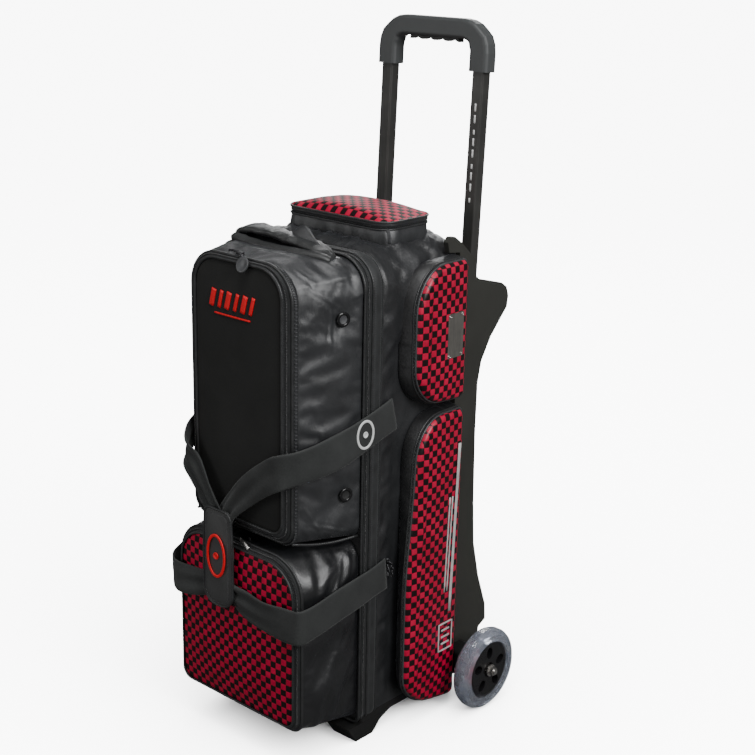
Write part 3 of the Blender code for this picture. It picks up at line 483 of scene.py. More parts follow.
# ---- Outlines -------------------------------------------------------------
def outline(low, high, radii, across=26, up=52, arc=9):
    """Return an evenly divided rounded rectangle, counter-clockwise from the lower left.

    The counts are the same for every size, so two outlines join point to point.
    """
    spots = ((low[0] + radii[0], low[1] + radii[0], 180), (high[0] - radii[1], low[1] + radii[1], 270),
             (high[0] - radii[2], high[1] - radii[2], 0), (low[0] + radii[3], high[1] - radii[3], 90))
    arcs = []
    for (u, v, start), radius in zip(spots, radii):
        turns = [radians(start + 90 * k / arc) for k in range(arc + 1)]
        arcs.append([(u + radius * cos(t), v + radius * sin(t)) for t in turns])
    points = []
    for index, corner in enumerate(arcs):
        points += corner
        last, first = Vector(corner[-1]), Vector(arcs[(index + 1) % 4][0])
        count = across if index % 2 == 0 else up
        points += [tuple(last.lerp(first, k / count)) for k in range(1, count)]
    return np.array(points)


def grown(low, high, radii, grow):
    """Return a rounded rectangle's corners and radii, grown by a margin."""
    return [v - grow for v in low], [v + grow for v in high], [r + grow for r in radii]


def lift(points, axis, level):
    """Put flat points into space, with their plane at a level along an axis."""
    points = np.asarray(points, float)
    level = np.broadcast_to(np.asarray(level, float), (len(points),))
    u, v = points[:, 0], points[:, 1]
    order = {"X": (level, u, v), "Y": (u, level, v), "Z": (u, v, level)}[axis]
    return np.stack(order, axis=1)


def smooth_path(points, steps=6):
    """Return a Catmull-Rom curve through points."""
    points = [Vector(p) for p in points]
    result = []
    for i, (b, c) in enumerate(zip(points, points[1:])):
        a = points[i - 1] if i > 0 else b * 2 - c
        d = points[i + 2] if i + 2 < len(points) else c * 2 - b
        for k in range(steps):
            t = k / steps
            result.append(0.5 * ((2 * b) + (c - a) * t + (2 * a - 5 * b + 4 * c - d) * t * t
                                 + (3 * b - a - 3 * c + d) * t * t * t))
    return result + [points[-1]]


# ---- Meshes ---------------------------------------------------------------
def make_piece(name, points, faces, material, body, uvs=None):
    """Make a smooth mesh piece that rides on a body; body None leaves that for later."""
    mesh = bpy.data.meshes.new(name)
    mesh.from_pydata([tuple(float(v) for v in p) for p in points], [], faces)
    if uvs is not None:
        layer = mesh.uv_layers.new(name=UV_NAME)
        for loop in mesh.loops:
            layer.data[loop.index].uv = uvs[loop.vertex_index]
    for one in [material] if isinstance(material, str) else material:
        mesh.materials.append(MATERIALS[one])
    mesh.shade_smooth()
    work = bmesh.new()
    work.from_mesh(mesh)
    bmesh.ops.recalc_face_normals(work, faces=work.faces)
    work.to_mesh(mesh)
    work.free()
    piece = bpy.data.objects.new(name, mesh)
    bpy.context.collection.objects.link(piece)
    if body is not None:
        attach(piece, body)
    return piece


def band_faces(rows, count, closed=True):
    """Return the quads between rows of points."""
    faces = []
    for r in range(rows - 1):
        for c in range(count if closed else count - 1):
            d = (c + 1) % count
            faces.append((r * count + c, r * count + d, (r + 1) * count + d, (r + 1) * count + c))
    return faces


def ring_faces(first, second):
    """Return the quads between two closed rings, each a list of point numbers."""
    return list(zip(first, second, second[1:] + second[:1], first[1:] + first[:1]))


def thicken(piece, depth):
    """Give a single sheet some thickness on its inner side."""
    solid = piece.modifiers.new("Thickness", "SOLIDIFY")
    solid.thickness = depth
    solid.offset = -1.0
    solid.use_even_offset = False


def refine(piece, levels=1):
    """Add a subdivision surface."""
    sub = piece.modifiers.new("Subdivision", "SUBSURF")
    sub.levels = sub.render_levels = levels
    sub.boundary_smooth = "PRESERVE_CORNERS"


def sweep(name, path, material, body, half_width, half_depth, reference, closed=False, sides=8, square=0.0):
    """Sweep a rounded section along a path.

    reference is the direction that the section's depth faces, one for all or one for each point. square goes
    from 0, an ellipse, to 1, nearly a rectangle. half_width and half_depth may be lists.
    """
    path = [Vector(p) for p in path]
    count = len(path)
    widths = [half_width] * count if isinstance(half_width, float) else list(half_width)
    depths = [half_depth] * count if isinstance(half_depth, float) else list(half_depth)
    refs = [Vector(r) for r in reference] if isinstance(reference, list) else [Vector(reference)] * count
    power = 1.0 - 0.78 * square
    ring = []
    for k in range(sides):
        t = 2 * pi * (k + 0.5) / sides
        c, s = cos(t), sin(t)
        ring.append((copysign(abs(c) ** power, c), copysign(abs(s) ** power, s)))
    points, uvs, run = [], [], 0.0
    for i, centre in enumerate(path):
        if closed:
            ahead, behind = path[(i + 1) % count], path[i - 1]
        else:
            ahead, behind = path[min(i + 1, count - 1)], path[max(i - 1, 0)]
        tangent = (ahead - behind).normalized()
        depth = (refs[i] - tangent * refs[i].dot(tangent)).normalized()
        width = tangent.cross(depth).normalized()
        if i:
            run += (centre - path[i - 1]).length
        for c, s in ring:
            points.append(centre + width * (c * widths[i]) + depth * (s * depths[i]))
            uvs.append((run, c * widths[i]))
    faces = band_faces(count, sides)
    if closed:
        last = (count - 1) * sides
        faces += [(last + k, last + (k + 1) % sides, (k + 1) % sides, k) for k in range(sides)]
    else:
        faces.append(tuple(range(sides)))
        faces.append(tuple((count - 1) * sides + k for k in reversed(range(sides))))
    return make_piece(name, points, faces, material, body, uvs)


def edge_direction(point, low, high, radii):
    """Return the outward direction of a rounded rectangle's edge nearest to a point inside it."""
    u, v = point
    right = u > (low[0] + high[0]) / 2
    top = v > (low[1] + high[1]) / 2
    radius = radii[2 if top and right else 3 if top else 1 if right else 0]
    gap_u = (high[0] - u) if right else (u - low[0])
    gap_v = (high[1] - v) if top else (v - low[1])
    sign_u, sign_v = (1 if right else -1), (1 if top else -1)
    if gap_u < radius and gap_v < radius:
        du, dv = radius - gap_u, radius - gap_v
        far = hypot(du, dv)
        if far > 1e-9:
            return sign_u * du / far, sign_v * dv / far
    if gap_u < gap_v:
        return float(sign_u), 0.0
    return 0.0, float(sign_v)


def fill_grid(low, high, radii, step):
    """Fill a rounded rectangle with rows of points.

    Returns the flat points, the quads and the rim's point numbers in order, counter-clockwise.
    """
    arc = 6
    base = max(radii[0], radii[1])
    crest = max(radii[2], radii[3])
    levels = [low[1] + base * (1 - cos(pi / 2 * k / arc)) for k in range(arc)]
    start, stop = low[1] + base, high[1] - crest
    rows = max(2, round((stop - start) / step))
    levels += [start + (stop - start) * k / rows for k in range(rows + 1)]
    levels += [high[1] - crest * (1 - sin(pi / 2 * k / arc)) for k in range(1, arc + 1)]
    columns = max(4, round((high[0] - low[0]) / step))

    def inset(v, lower, upper):
        """Return how far the outline is pulled in at this height."""
        if v < low[1] + lower:
            rise = lower - (v - low[1])
            return lower - sqrt(max(0.0, lower * lower - rise * rise))
        if v > high[1] - upper:
            rise = upper - (high[1] - v)
            return upper - sqrt(max(0.0, upper * upper - rise * rise))
        return 0.0

    points = []
    for v in levels:
        left = low[0] + inset(v, radii[0], radii[3])
        right = high[0] - inset(v, radii[1], radii[2])
        points += [(left + (right - left) * k / columns, v) for k in range(columns + 1)]
    width = columns + 1
    faces = band_faces(len(levels), width, closed=False)
    last = len(levels) - 1
    rim = list(range(width)) + [r * width + columns for r in range(1, last)]
    rim += [last * width + k for k in reversed(range(width))] + [r * width for r in reversed(range(1, last))]
    return np.array(points), faces, rim


def pillow(name, material, body, axis, face, sign, low, high, radii, crown, wall, step=6 * MM, back=None,
           roll=None, shape=None):
    """Make a crowned panel.

    The panel faces along an axis with a sign, its rim lies at the level face, and its middle is raised by
    crown. wall is how far its side goes back from the rim, and roll is how far the rim's rounding reaches in.
    With back, the panel is closed behind by that material. shape moves the flat points (u, v, height) before
    they are placed.
    """
    roll = wall * 0.6 if roll is None else roll
    inner_low, inner_high = (low[0] + roll, low[1] + roll), (high[0] - roll, high[1] - roll)
    inner_radii = [max(r - roll, 0.0015) for r in radii]
    flat, grid_faces, rim = fill_grid(inner_low, inner_high, inner_radii, step)
    span_u, span_v = inner_high[0] - inner_low[0], inner_high[1] - inner_low[1]
    points, faces = [], list(grid_faces)
    for u, v in flat:
        x = (u - inner_low[0]) / span_u * 2 - 1
        y = (v - inner_low[1]) / span_v * 2 - 1
        points.append((u, v, crown * (1 - abs(x) ** 2.4) * (1 - abs(y) ** 6)))
    profile = [(roll * sin(radians(a)), -roll * (1 - cos(radians(a)))) for a in (30, 60, 90)]
    if wall > roll:
        profile += [(roll, -(roll + (wall - roll) * k / 3)) for k in (1, 2, 3)]
    previous = rim
    for out, drop in profile:
        ring = []
        for index in rim:
            u, v = flat[index]
            direction = edge_direction((u, v), inner_low, inner_high, inner_radii)
            ring.append(len(points))
            points.append((u + direction[0] * out, v + direction[1] * out, drop))
        faces += ring_faces(previous, ring)
        previous = ring
    front_count = len(faces)
    if back is not None:
        start = len(points)
        points += [(u, v, -wall) for u, v in flat]
        faces += [tuple(start + i for i in reversed(f)) for f in grid_faces]
        faces += ring_faces(previous, [start + i for i in rim])
    if shape is not None:
        points = [shape(*p) for p in points]
    solid = lift([p[:2] for p in points], axis, [face + sign * p[2] for p in points])
    uvs = [(float(v), float(u)) for u, v, _ in points]
    piece = make_piece(name, solid, faces, [material] if back is None else [material, back], body, uvs)
    for polygon in list(piece.data.polygons)[front_count:]:
        polygon.material_index = 1
    return piece


def run_along(flat):
    """Return the distance travelled at each of a row of points."""
    return np.concatenate(([0.0], np.cumsum(np.linalg.norm(np.diff(flat, axis=0), axis=1))))


def rows_between(axis, start, end, steps):
    """Return (points, points in a row) between two outlines, each (flat outline, level)."""
    rows = [lift(start[0] * (1 - t) + end[0] * t, axis, start[1] * (1 - t) + end[1] * t)
            for t in (k / steps for k in range(steps + 1))]
    return np.concatenate(rows), len(start[0])


def funnel(name, material, body, axis, start, end, steps, thickness):
    """Join two outlines, each (flat outline, level), with a cloth of some thickness."""
    points, count = rows_between(axis, start, end, steps)
    run = run_along(start[0])
    depth = abs(end[1] - start[1])
    uvs = [(float(run[i % count]), float(depth * (i // count) / steps)) for i in range(len(points))]
    piece = make_piece(name, points, band_faces(steps + 1, count), material, body, uvs)
    thicken(piece, thickness)
    return piece


def relax(piece, held, pressure, slack, cap, stiff=12.0, bend=0.3, frames=20):
    """Let a cloth simulation swell and fold a mesh, with some points held, and keep its result."""
    group = piece.vertex_groups.new(name="held")
    group.add([int(i) for i in held], 1.0, "REPLACE")
    cloth = piece.modifiers.new("Cloth", "CLOTH")
    settings = cloth.settings
    settings.quality = 5
    settings.mass = 0.2
    settings.tension_stiffness = settings.compression_stiffness = stiff
    settings.shear_stiffness = stiff * 0.3
    settings.bending_stiffness = bend
    settings.air_damping = 2.0
    settings.vertex_group_mass = "held"
    settings.use_pressure = True
    settings.uniform_pressure_force = pressure
    settings.shrink_min = -slack
    settings.effector_weights.gravity = 0.0
    cloth.point_cache.frame_start, cloth.point_cache.frame_end = 1, frames
    scene = bpy.context.scene
    for number in range(1, frames + 1):
        scene.frame_set(number)
    shown = piece.evaluated_get(bpy.context.evaluated_depsgraph_get())
    count = len(piece.data.vertices)
    after = np.zeros(count * 3, np.float32)
    shown.data.vertices.foreach_get("co", after)
    before = np.zeros(count * 3, np.float32)
    piece.data.vertices.foreach_get("co", before)
    piece.modifiers.remove(cloth)
    scene.frame_set(1)
    move = (after - before).reshape(-1, 3)
    length = np.linalg.norm(move, axis=1)
    move *= np.minimum(1.0, cap / np.maximum(length, 1e-9))[:, None]
    move = np.nan_to_num(move)
    piece.data.vertices.foreach_set("co", (before.reshape(-1, 3) + move).ravel())
    piece.data.update()


def ridges(place, scale, seed, sharp=2.0):
    """Return a creased noise value from 0 to 1."""
    value = noise.fractal(Vector(place) * scale + Vector((seed, seed * 1.7, seed * 0.3)), 0.9, 2.1, 3)
    return max(0.0, 1.0 - abs(value) * sharp)


# ---- Small trims ----------------------------------------------------------
def loop_path(low, high, radii, axis, level, across=14, up=30, arc=7):
    """Return a closed path round a rounded rectangle."""
    return [Vector(p) for p in lift(outline(low, high, radii, across, up, arc), axis, level)]


def make_piping(name, path, radius, axis, body, material="piping", closed=True, sides=8):
    """Lay a round cord along a path whose plane faces an axis."""
    normal = (axis == "X", axis == "Y", axis == "Z")
    return sweep(name, path, material, body, radius, radius, normal, closed, sides)


def make_chain(name, path, body, gauge=0.0007, length=0.0042):
    """Hang a short chain of oval links along a path."""
    path = [Vector(p) for p in path]
    spans = [(b - a).length for a, b in zip(path, path[1:])]
    total = sum(spans)
    count = max(2, round(total / (length * 0.72)))
    points, faces = [], []
    ring, tube = 12, 6
    for link in range(count):
        travel = total * (link + 0.5) / count
        index = 0
        while index < len(spans) - 1 and travel > spans[index]:
            travel -= spans[index]
            index += 1
        along = (path[index + 1] - path[index]).normalized()
        centre = path[index] + along * travel
        side = along.cross(Vector((0.31, -0.72, 0.62))).normalized()
        other = along.cross(side)
        if link % 2:
            side, other = other, -side
        start = len(points)
        for r in range(ring):
            a = 2 * pi * r / ring
            spine = along * (cos(a) * length / 2) + side * (sin(a) * length * 0.32)
            outward = spine.normalized()
            for t in range(tube):
                b = 2 * pi * t / tube
                points.append(centre + spine + (outward * cos(b) + other * sin(b)) * gauge)
        for r in range(ring):
            for t in range(tube):
                a, b = (r + 1) % ring, (t + 1) % tube
                faces.append((start + r * tube + t, start + a * tube + t, start + a * tube + b,
                              start + r * tube + b))
    return make_piece(name, points, faces, "dark_metal", body)


def make_disc(name, centre, facing, radius, depth, material, body, stretch=1.0):
    """Make a small round tab with a raised rim, facing a direction."""
    facing = Vector(facing).normalized()
    across = facing.cross(UP).normalized()
    up = across.cross(facing)
    profile = ((0.0, 0.55), (0.7, 0.55), (0.78, 1.0), (0.93, 1.0), (1.0, 0.6), (1.0, -0.6), (0.93, -1.0),
               (0.0, -1.0))
    count = 28
    points, faces = [], []
    for share, level in profile:
        if share == 0.0:
            points.append(Vector(centre) + facing * (level * depth))
            continue
        for k in range(count):
            a = 2 * pi * k / count
            points.append(Vector(centre) + across * (cos(a) * radius * share)
                          + up * (sin(a) * radius * share * stretch) + facing * (level * depth))
    faces += [(0, 1 + k, 1 + (k + 1) % count) for k in range(count)]
    rings = len(profile) - 2
    for r in range(rings - 1):
        a, b = 1 + r * count, 1 + (r + 1) * count
        faces += [(a + k, b + k, b + (k + 1) % count, a + (k + 1) % count) for k in range(count)]
    last, end = 1 + (rings - 1) * count, len(points) - 1
    faces += [(last + k, end, last + (k + 1) % count) for k in range(count)]
    return make_piece(name, points, faces, material, body)


def join_parts(name, parts, body):
    """Join loose parts into one piece that rides on a body."""
    base = parts[0]
    if len(parts) > 1:
        with bpy.context.temp_override(active_object=base, object=base, selected_objects=parts,
                                       selected_editable_objects=parts):
            bpy.ops.object.join()
    base.name = name
    if body is not None:
        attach(base, body)
    return base


# ---- Bay: the box that holds the balls ------------------------------------
BAY_TOP_SLOPE = ((0.104, 0.7225), (0.1465, 0.6835))
BAY_LOW, BAY_HIGH, BAY_RADII = (-0.1302, 0.03), (0.1302, 0.7225), (0.01, 0.01, 0.042, 0.042)


def bay_outline(y):
    """Return the bay's outline at a depth."""
    top = BAY_HIGH[1]
    if y > BAY_TOP_SLOPE[0][0]:
        share = (y - BAY_TOP_SLOPE[0][0]) / (BAY_TOP_SLOPE[1][0] - BAY_TOP_SLOPE[0][0])
        top += (BAY_TOP_SLOPE[1][1] - BAY_TOP_SLOPE[0][1]) * min(share, 1.15)
    return outline(BAY_LOW, (BAY_HIGH[0], top), BAY_RADII, across=44, up=96, arc=10)


def make_bay():
    """Make the nylon skin of the ball bay, its lining and its back."""
    rows = [lift(bay_outline(y), "Y", y) for y in np.linspace(-0.07, BAY_TOP_SLOPE[1][0], 40)]
    count = len(rows[0])
    points = np.concatenate(rows)
    held = []
    for index, point in enumerate(points):
        x, y, z = point
        top = z > 0.7
        shown_front = y < -0.026
        shown_top = top and not (-0.1 < x < 0.1 and y > -0.013)
        shown_rear = z > 0.6 and y < 0.12
        edge = y < -0.0495 or y > 0.125
        if edge or not (shown_front or shown_top or shown_rear) or z < 0.05:
            held.append(index)
            continue
        out = edge_direction((x, z), BAY_LOW, BAY_HIGH, BAY_RADII)
        crease = ridges((x, y * 0.7, z * 0.8), 34.0, 3.0)
        gather = fold(x, y, 60.0 if x > 0 else 120.0, 0.014, 0.06, 13.0, 2.2) if top else 0.0
        points[index] += np.array((out[0], 0.0, out[1])) * (0.0006 + 0.0012 * crease + 0.0042 * gather ** 1.5)
    skin = make_piece("bay_skin", points, band_faces(len(rows), count), ["nylon_bay", "lining"], "bag_body")
    relax(skin, held, 1.2, 0.03, 0.005, bend=0.8)
    thicken(skin, 0.0105)
    skin.modifiers["Thickness"].material_offset = 1
    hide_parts("side_board_left", "side_board_right", "top_board")
    back = pillow("bay_back", "nylon", "bag_body", "Y", 0.154, 1.0, (-0.129, 0.031), (0.129, 0.68),
                  (0.01, 0.01, 0.03, 0.03), 0.0006, 0.006, step=12 * MM, roll=0.004)
    for name in ("back_board", "door_board"):
        dress(name, "lining")


ZIP_LOW, ZIP_HIGH, ZIP_RADII = (-0.1308, 0.0305), (0.1308, 0.7232), (0.012, 0.012, 0.043, 0.043)


def ring_band(name, material, body, y_from, y_to, grow, rows=3, bulge=0.0):
    """Make a flat band round the bag between two depths."""
    flat = outline(*grown(ZIP_LOW, ZIP_HIGH, ZIP_RADII, grow))
    points, uvs = [], []
    run = run_along(flat)
    for k in range(rows + 1):
        t = k / rows
        for (u, v), distance in zip(flat, run):
            out = edge_direction((u, v), ZIP_LOW, ZIP_HIGH, ZIP_RADII)
            rise = bulge * sin(pi * t)
            points.append((u + out[0] * rise, y_from + (y_to - y_from) * t, v + out[1] * rise))
            uvs.append((distance, (t - 0.5) * (y_to - y_from)))
    piece = make_piece(name, points, band_faces(rows + 1, len(flat)), material, body, uvs)
    thicken(piece, 0.0006)
    return piece


def ring_path(grow, y):
    """Return the closed path round the bag at a depth."""
    return loop_path(*grown(ZIP_LOW, ZIP_HIGH, ZIP_RADII, grow), "Y", y, across=26, up=60, arc=9)


def make_main_zip():
    """Make the piping, tapes and coil where the door meets the bay."""
    make_piping("door_edge_piping", ring_path(0.0006, -0.0866), 0.0021, "Y", "front_door")
    ring_band("door_zip_tape", "tape", "front_door", -0.0855, -0.0792, 0.0)
    hole = outline((-0.1262, 0.05), (0.1262, 0.718), (0.012, 0.012, 0.038, 0.038))
    flange = funnel("door_back_flange", "lining", "front_door", "Y",
                    (outline(ZIP_LOW, ZIP_HIGH, ZIP_RADII), -0.0832), (hole, -0.0832), 3, thickness=0.001)
    ring_band("bay_zip_tape", "tape", "bag_body", -0.0776, -0.0712, 0.0)
    make_piping("main_zip_coil", ring_path(0.0004, -0.0784), 0.0016, "Y", "bag_body", "zip_coil")
    make_piping("bay_edge_piping", ring_path(0.0006, -0.0702), 0.0021, "Y", "bag_body")
    band = ring_band("bay_front_band", "tape", "bag_body", -0.069, -0.0515, 0.0002, rows=6, bulge=0.0012)
    make_piping("bay_seam_piping", ring_path(0.0003, -0.0507), 0.0016, "Y", "bag_body")
    strip = []
    for k in range(13):
        z = 0.06 + (0.69 - 0.06) * k / 12
        strip += [(-0.1318 - 0.0006 * sin(k * 1.9), y, z) for y in np.linspace(-0.0866, -0.0702, 9)]
    hinge = make_piece("door_hinge_cloth", strip, band_faces(13, 9, closed=False), "tape", None,
                       [(z, y + 0.078) for _, y, z in strip])
    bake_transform(hinge)


# ---- Door: shoe compartment and front pocket ------------------------------
SHOE_SECTIONS = (
    ((-0.1285, 0.323), (0.1285, 0.7215), (0.022, 0.022, 0.042, 0.042), -0.087),
    ((-0.101, 0.331), (0.101, 0.722), (0.024, 0.024, 0.05, 0.05), -0.1835),
    ((-0.0975, 0.3345), (0.0975, 0.7215), (0.024, 0.024, 0.049, 0.049), -0.1895),
    ((-0.086, 0.3455), (0.086, 0.7175), (0.022, 0.022, 0.042, 0.042), -0.1975),
)
VENTS = ((0.119, -0.119, 0.647), (0.121, -0.112, 0.396))
PANEL_Y = -0.1965
PANEL_LOW, PANEL_HIGH = (-0.0842, 0.3472), (0.0842, 0.7157)
PANEL_CROWN = 0.005


def shoe_section(index, grow=0.0, counts=(40, 72, 10)):
    """Return (outline, depth) of one section of the shoe compartment, from the door to the panel."""
    low, high, radii, y = SHOE_SECTIONS[index]
    return outline(*grown(low, high, radii, grow), *counts), y


def panel_level(x, z):
    """Return the depth of the front panel's face at a point."""
    roll = 0.005
    u = (x - PANEL_LOW[0] - roll) / (PANEL_HIGH[0] - PANEL_LOW[0] - 2 * roll) * 2 - 1
    v = (z - PANEL_LOW[1] - roll) / (PANEL_HIGH[1] - PANEL_LOW[1] - 2 * roll) * 2 - 1
    return PANEL_Y - PANEL_CROWN * (1 - abs(u) ** 2.4) * (1 - abs(v) ** 6)


def fold(first, second, angle, width, length, seed, sharp=2.0):
    """Return a fold's height from 0 to 1; the folds run at an angle in the plane of the two coordinates."""
    turn = radians(angle)
    along = first * cos(turn) + second * sin(turn)
    across = second * cos(turn) - first * sin(turn)
    value = noise.fractal(Vector((across / width, along / length, seed)), 1.0, 2.1, 2)
    return max(0.0, 1.0 - abs(value) * sharp)


def fold_depth(x, y, z):
    """Return how far the gusset's cloth stands out: long folds that fan down from the top corners."""
    long_fold = fold(y, z, 118.0, 0.026, 0.12, 7.0, 2.0)
    cross_fold = fold(y, z, 150.0, 0.02, 0.09, 3.0, 2.2)
    small_fold = fold(y, z + x * 0.5, 130.0, 0.01, 0.045, 9.0, 2.4)
    upper = exp(-((z - 0.665) / 0.045) ** 2)
    lower = exp(-((z - 0.345) / 0.035) ** 2)
    return (0.0008 + 0.001 * small_fold * upper
            + long_fold ** 1.6 * (0.0004 + 0.0036 * upper + 0.0012 * lower)
            + cross_fold ** 1.6 * 0.0032 * upper)


# Each crease is (its corner points in y and z, its height, its half width).
SHOE_CREASES = (
    (((-0.19, 0.731), (-0.154, 0.697), (-0.086, 0.706)), 0.0022, 0.0034),
    (((-0.192, 0.692), (-0.132, 0.705), (-0.084, 0.699)), 0.0018, 0.003),
    (((-0.186, 0.732), (-0.164, 0.708)), 0.002, 0.0032),
    (((-0.143, 0.737), (-0.11, 0.707)), 0.0016, 0.0034),
    (((-0.175, 0.701), (-0.124, 0.662)), 0.002, 0.004),
    (((-0.139, 0.68), (-0.136, 0.645), (-0.142, 0.603)), 0.0016, 0.0042),
    (((-0.106, 0.673), (-0.08, 0.683)), 0.0014, 0.0034),
    (((-0.174, 0.365), (-0.107, 0.339)), 0.0014, 0.0036),
    (((-0.16, 0.534), (-0.148, 0.48), (-0.141, 0.431)), 0.001, 0.006),
    (((-0.174, 0.387), (-0.144, 0.336)), 0.0014, 0.0034),
)
POCKET_CREASES = (
    (((-0.093, 0.321), (-0.13, 0.296), (-0.17, 0.275)), 0.0022, 0.0044),
    (((-0.132, 0.326), (-0.175, 0.299)), 0.0016, 0.0034),
    (((-0.108, 0.314), (-0.146, 0.255)), 0.0018, 0.0038),
)


def crease_height(y, z, creases):
    """Return how far the sharp creases lift the cloth at a point."""
    spot = Vector((y, z))
    total = 0.0
    for corners, height, half in creases:
        corners = [Vector(c) for c in corners]
        best, share, last = 1.0, 0.0, len(corners) - 1
        for index, (a, b) in enumerate(zip(corners, corners[1:])):
            span = b - a
            t = min(1.0, max(0.0, (spot - a).dot(span) / span.length_squared))
            gap = (spot - a - span * t).length
            if gap < best:
                best, share = gap, (index + t) / last
        far = best / half
        if far < 4.0:
            total += height * sin(pi * (0.08 + 0.84 * share)) ** 0.7 * (
                exp(-far * far) - 0.35 * exp(-(far - 1.7) ** 2 * 1.6))
    return total


def add_creases(piece, creases):
    """Divide a gusset's mesh once more and press the sharp creases into both its sides."""
    refine(piece)
    shown = piece.evaluated_get(bpy.context.evaluated_depsgraph_get())
    mesh = bpy.data.meshes.new_from_object(shown)
    piece.modifiers.clear()
    piece.data = mesh
    mesh.shade_smooth()
    for vertex in mesh.vertices:
        x, y, z = vertex.co
        if abs(x) > 0.085:
            vertex.co.x = x + copysign(crease_height(y, z, creases), x)
    mesh.update()


def make_shoe_compartment():
    """Make the slanting gusset, the zipper band and the padded panel of the shoe compartment."""
    steps = 26
    points, count = rows_between("Y", shoe_section(0), shoe_section(1), steps)
    held = set(range(count)) | set(range(steps * count, (steps + 1) * count))
    for index, point in enumerate(points):
        x, y, z = point
        t = (index // count) / steps
        eyelet = min(hypot(y - v[1], z - v[2]) for v in VENTS)
        if eyelet < 0.014 and abs(x) > 0.1 or z < 0.335:
            held.add(index)
            continue
        out = Vector((x, 0.0, (z - 0.53) * 0.5)).normalized()
        if z > 0.68:
            out = Vector((x * 0.4, 0.0, 0.1)).normalized()
        ease = min(1.0, max(0.0, (eyelet - 0.01) / 0.02)) if abs(x) > 0.1 else 1.0
        rise = sin(pi * t) ** 0.8 * fold_depth(x, y, z) * ease
        points[index] += np.array(out) * rise
    gusset = make_piece("shoe_gusset", points, band_faces(steps + 1, count), "nylon", "front_door")
    relax(gusset, held, 1.0, 0.012, 0.005, bend=4.0)
    add_creases(gusset, SHOE_CREASES)
    thicken(gusset, 0.0012)
    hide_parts("shoe_compartment")

    seam = funnel("shoe_shoulder", "nylon", "front_door", "Y", shoe_section(1), shoe_section(2), 2,
                  thickness=0.0008)
    make_shoulder_ribs()
    band = funnel("shoe_zip_band", "tape", "front_door", "Y", shoe_section(2), shoe_section(3), 4,
                  thickness=0.0006)
    small = (22, 44, 9)
    outer, y_outer = shoe_section(2, 0.0003, small)
    inner, y_inner = shoe_section(3, 0.0004, small)
    make_piping("shoe_outer_piping", lift(outer, "Y", y_outer), 0.0021, "Y", "front_door")
    middle = lift(outer * 0.48 + inner * 0.52, "Y", y_outer * 0.48 + y_inner * 0.52 - 0.001)
    make_piping("shoe_zip_coil", middle, 0.0015, "Y", "front_door", "zip_coil")
    rim = lift(shoe_section(3, -0.001, (22, 60, 9))[0], "Y", y_inner + 0.0016)
    edge = make_piping("shoe_panel_piping", rim, 0.0026, "Y", None)
    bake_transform(edge)

    panel = pillow("shoe_panel", "padding", None, "Y", PANEL_Y, -1.0, PANEL_LOW, PANEL_HIGH,
                   [r - 0.002 for r in SHOE_SECTIONS[3][2]], PANEL_CROWN, 0.01, step=6 * MM,
                   back="lining", roll=0.005)
    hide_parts("shoe_lid")
    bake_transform(panel)
    make_vent_mesh()


RIB_STATIONS = ((-0.0022, 0.0006), (-0.0008, 0.0011), (0.0008, 0.0011), (0.0022, 0.0006))
STITCH_STATIONS = ((-1.0, 0.45), (-0.5, 1.0), (0.5, 1.0), (1.0, 0.45))


def add_bead(points, faces, centre, along, first, second, stations):
    """Add one closed bead; each station is (reach along it, first radius, second radius)."""
    start, sides = len(points), 6
    for reach, wide, high in stations:
        for turn in range(sides):
            angle = 2 * pi * turn / sides
            points.append(centre + along * reach + first * (cos(angle) * wide) + second * (sin(angle) * high))
    rows = len(stations)
    faces += [tuple(start + v for v in face) for face in band_faces(rows, sides)]
    faces += [tuple(start + row * sides + v for v in range(sides)) for row in (0, rows - 1)]


def spots_along(path, pitch):
    """Give (centre, direction, spacing) for spots set evenly along each span of a closed path."""
    for a, b in zip(path, path[1:] + path[:1]):
        span = b - a
        pieces = max(1, round(span.length / pitch))
        for k in range(pieces):
            yield a.lerp(b, (k + 0.5) / pieces), span.normalized(), span.length / pieces


def make_shoulder_ribs():
    """Lay the stitched ribs along the seam beside the outer piping."""
    flat, y = shoe_section(1, 0.0004, (30, 60, 12))
    points, faces = [], []
    for centre, along, _ in spots_along([Vector(p) for p in lift(flat, "Y", y - 0.0024)], 0.0042):
        out = along.cross(REARWARD).normalized()
        out = out if out.dot(Vector((centre.x, 0.0, centre.z - 0.53))) > 0 else -out
        add_bead(points, faces, centre, REARWARD, along, out,
                 [(reach, size, size * 0.7) for reach, size in RIB_STATIONS])
    make_piece("shoe_seam_ribs", points, faces, "piping_grey", "front_door")


def oval_path(centre, facing, half_width, half_height, count):
    """Return an upright oval's points, turned to a direction."""
    across = facing.cross(UP).normalized()
    return [centre + across * (cos(a) * half_width) + UP * (sin(a) * half_height)
            for a in (2 * pi * k / count for k in range(count))]


def make_vent_mesh():
    """Make the eyelets of the shoe compartment: a raised ring with mesh above, and below an open well whose
    dark inside is painted shade on a near-black disc.
    """
    # The lower disc's near-black well colour is painted shade inside the open hole.
    for level, colour in (("upper", "mesh"), ("lower", "well")):
        for label, sign in SIDES:
            low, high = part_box(f"vent_{level}_{label}")
            centre = (low + high) / 2
            facing = Vector((sign * 0.965, -0.262, 0.0))
            path = oval_path(centre + facing * 0.0026, facing, 0.0082, 0.0082, 32)
            ring = sweep(f"eyelet_{level}_{label}", path, "ring_black", "front_door", 0.0023, 0.0016, facing,
                         True)
            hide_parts(f"vent_{level}_{label}")
            well = make_disc(f"vent_well_{level}_{label}", centre + facing * 0.0018, facing, 0.0072, 0.0006,
                             colour, "front_door")


POCKET_REAR = ((-0.1265, 0.0358), (0.1265, 0.3185), (0.02, 0.02, 0.03, 0.03), -0.087)
POCKET_FRONT = ((-0.124, 0.057), (0.124, 0.3165), (0.02, 0.02, 0.056, 0.056), -0.1965)
POCKET_INNER = ((-0.115, 0.064), (0.115, 0.308), (0.016, 0.016, 0.049, 0.049), -0.205)


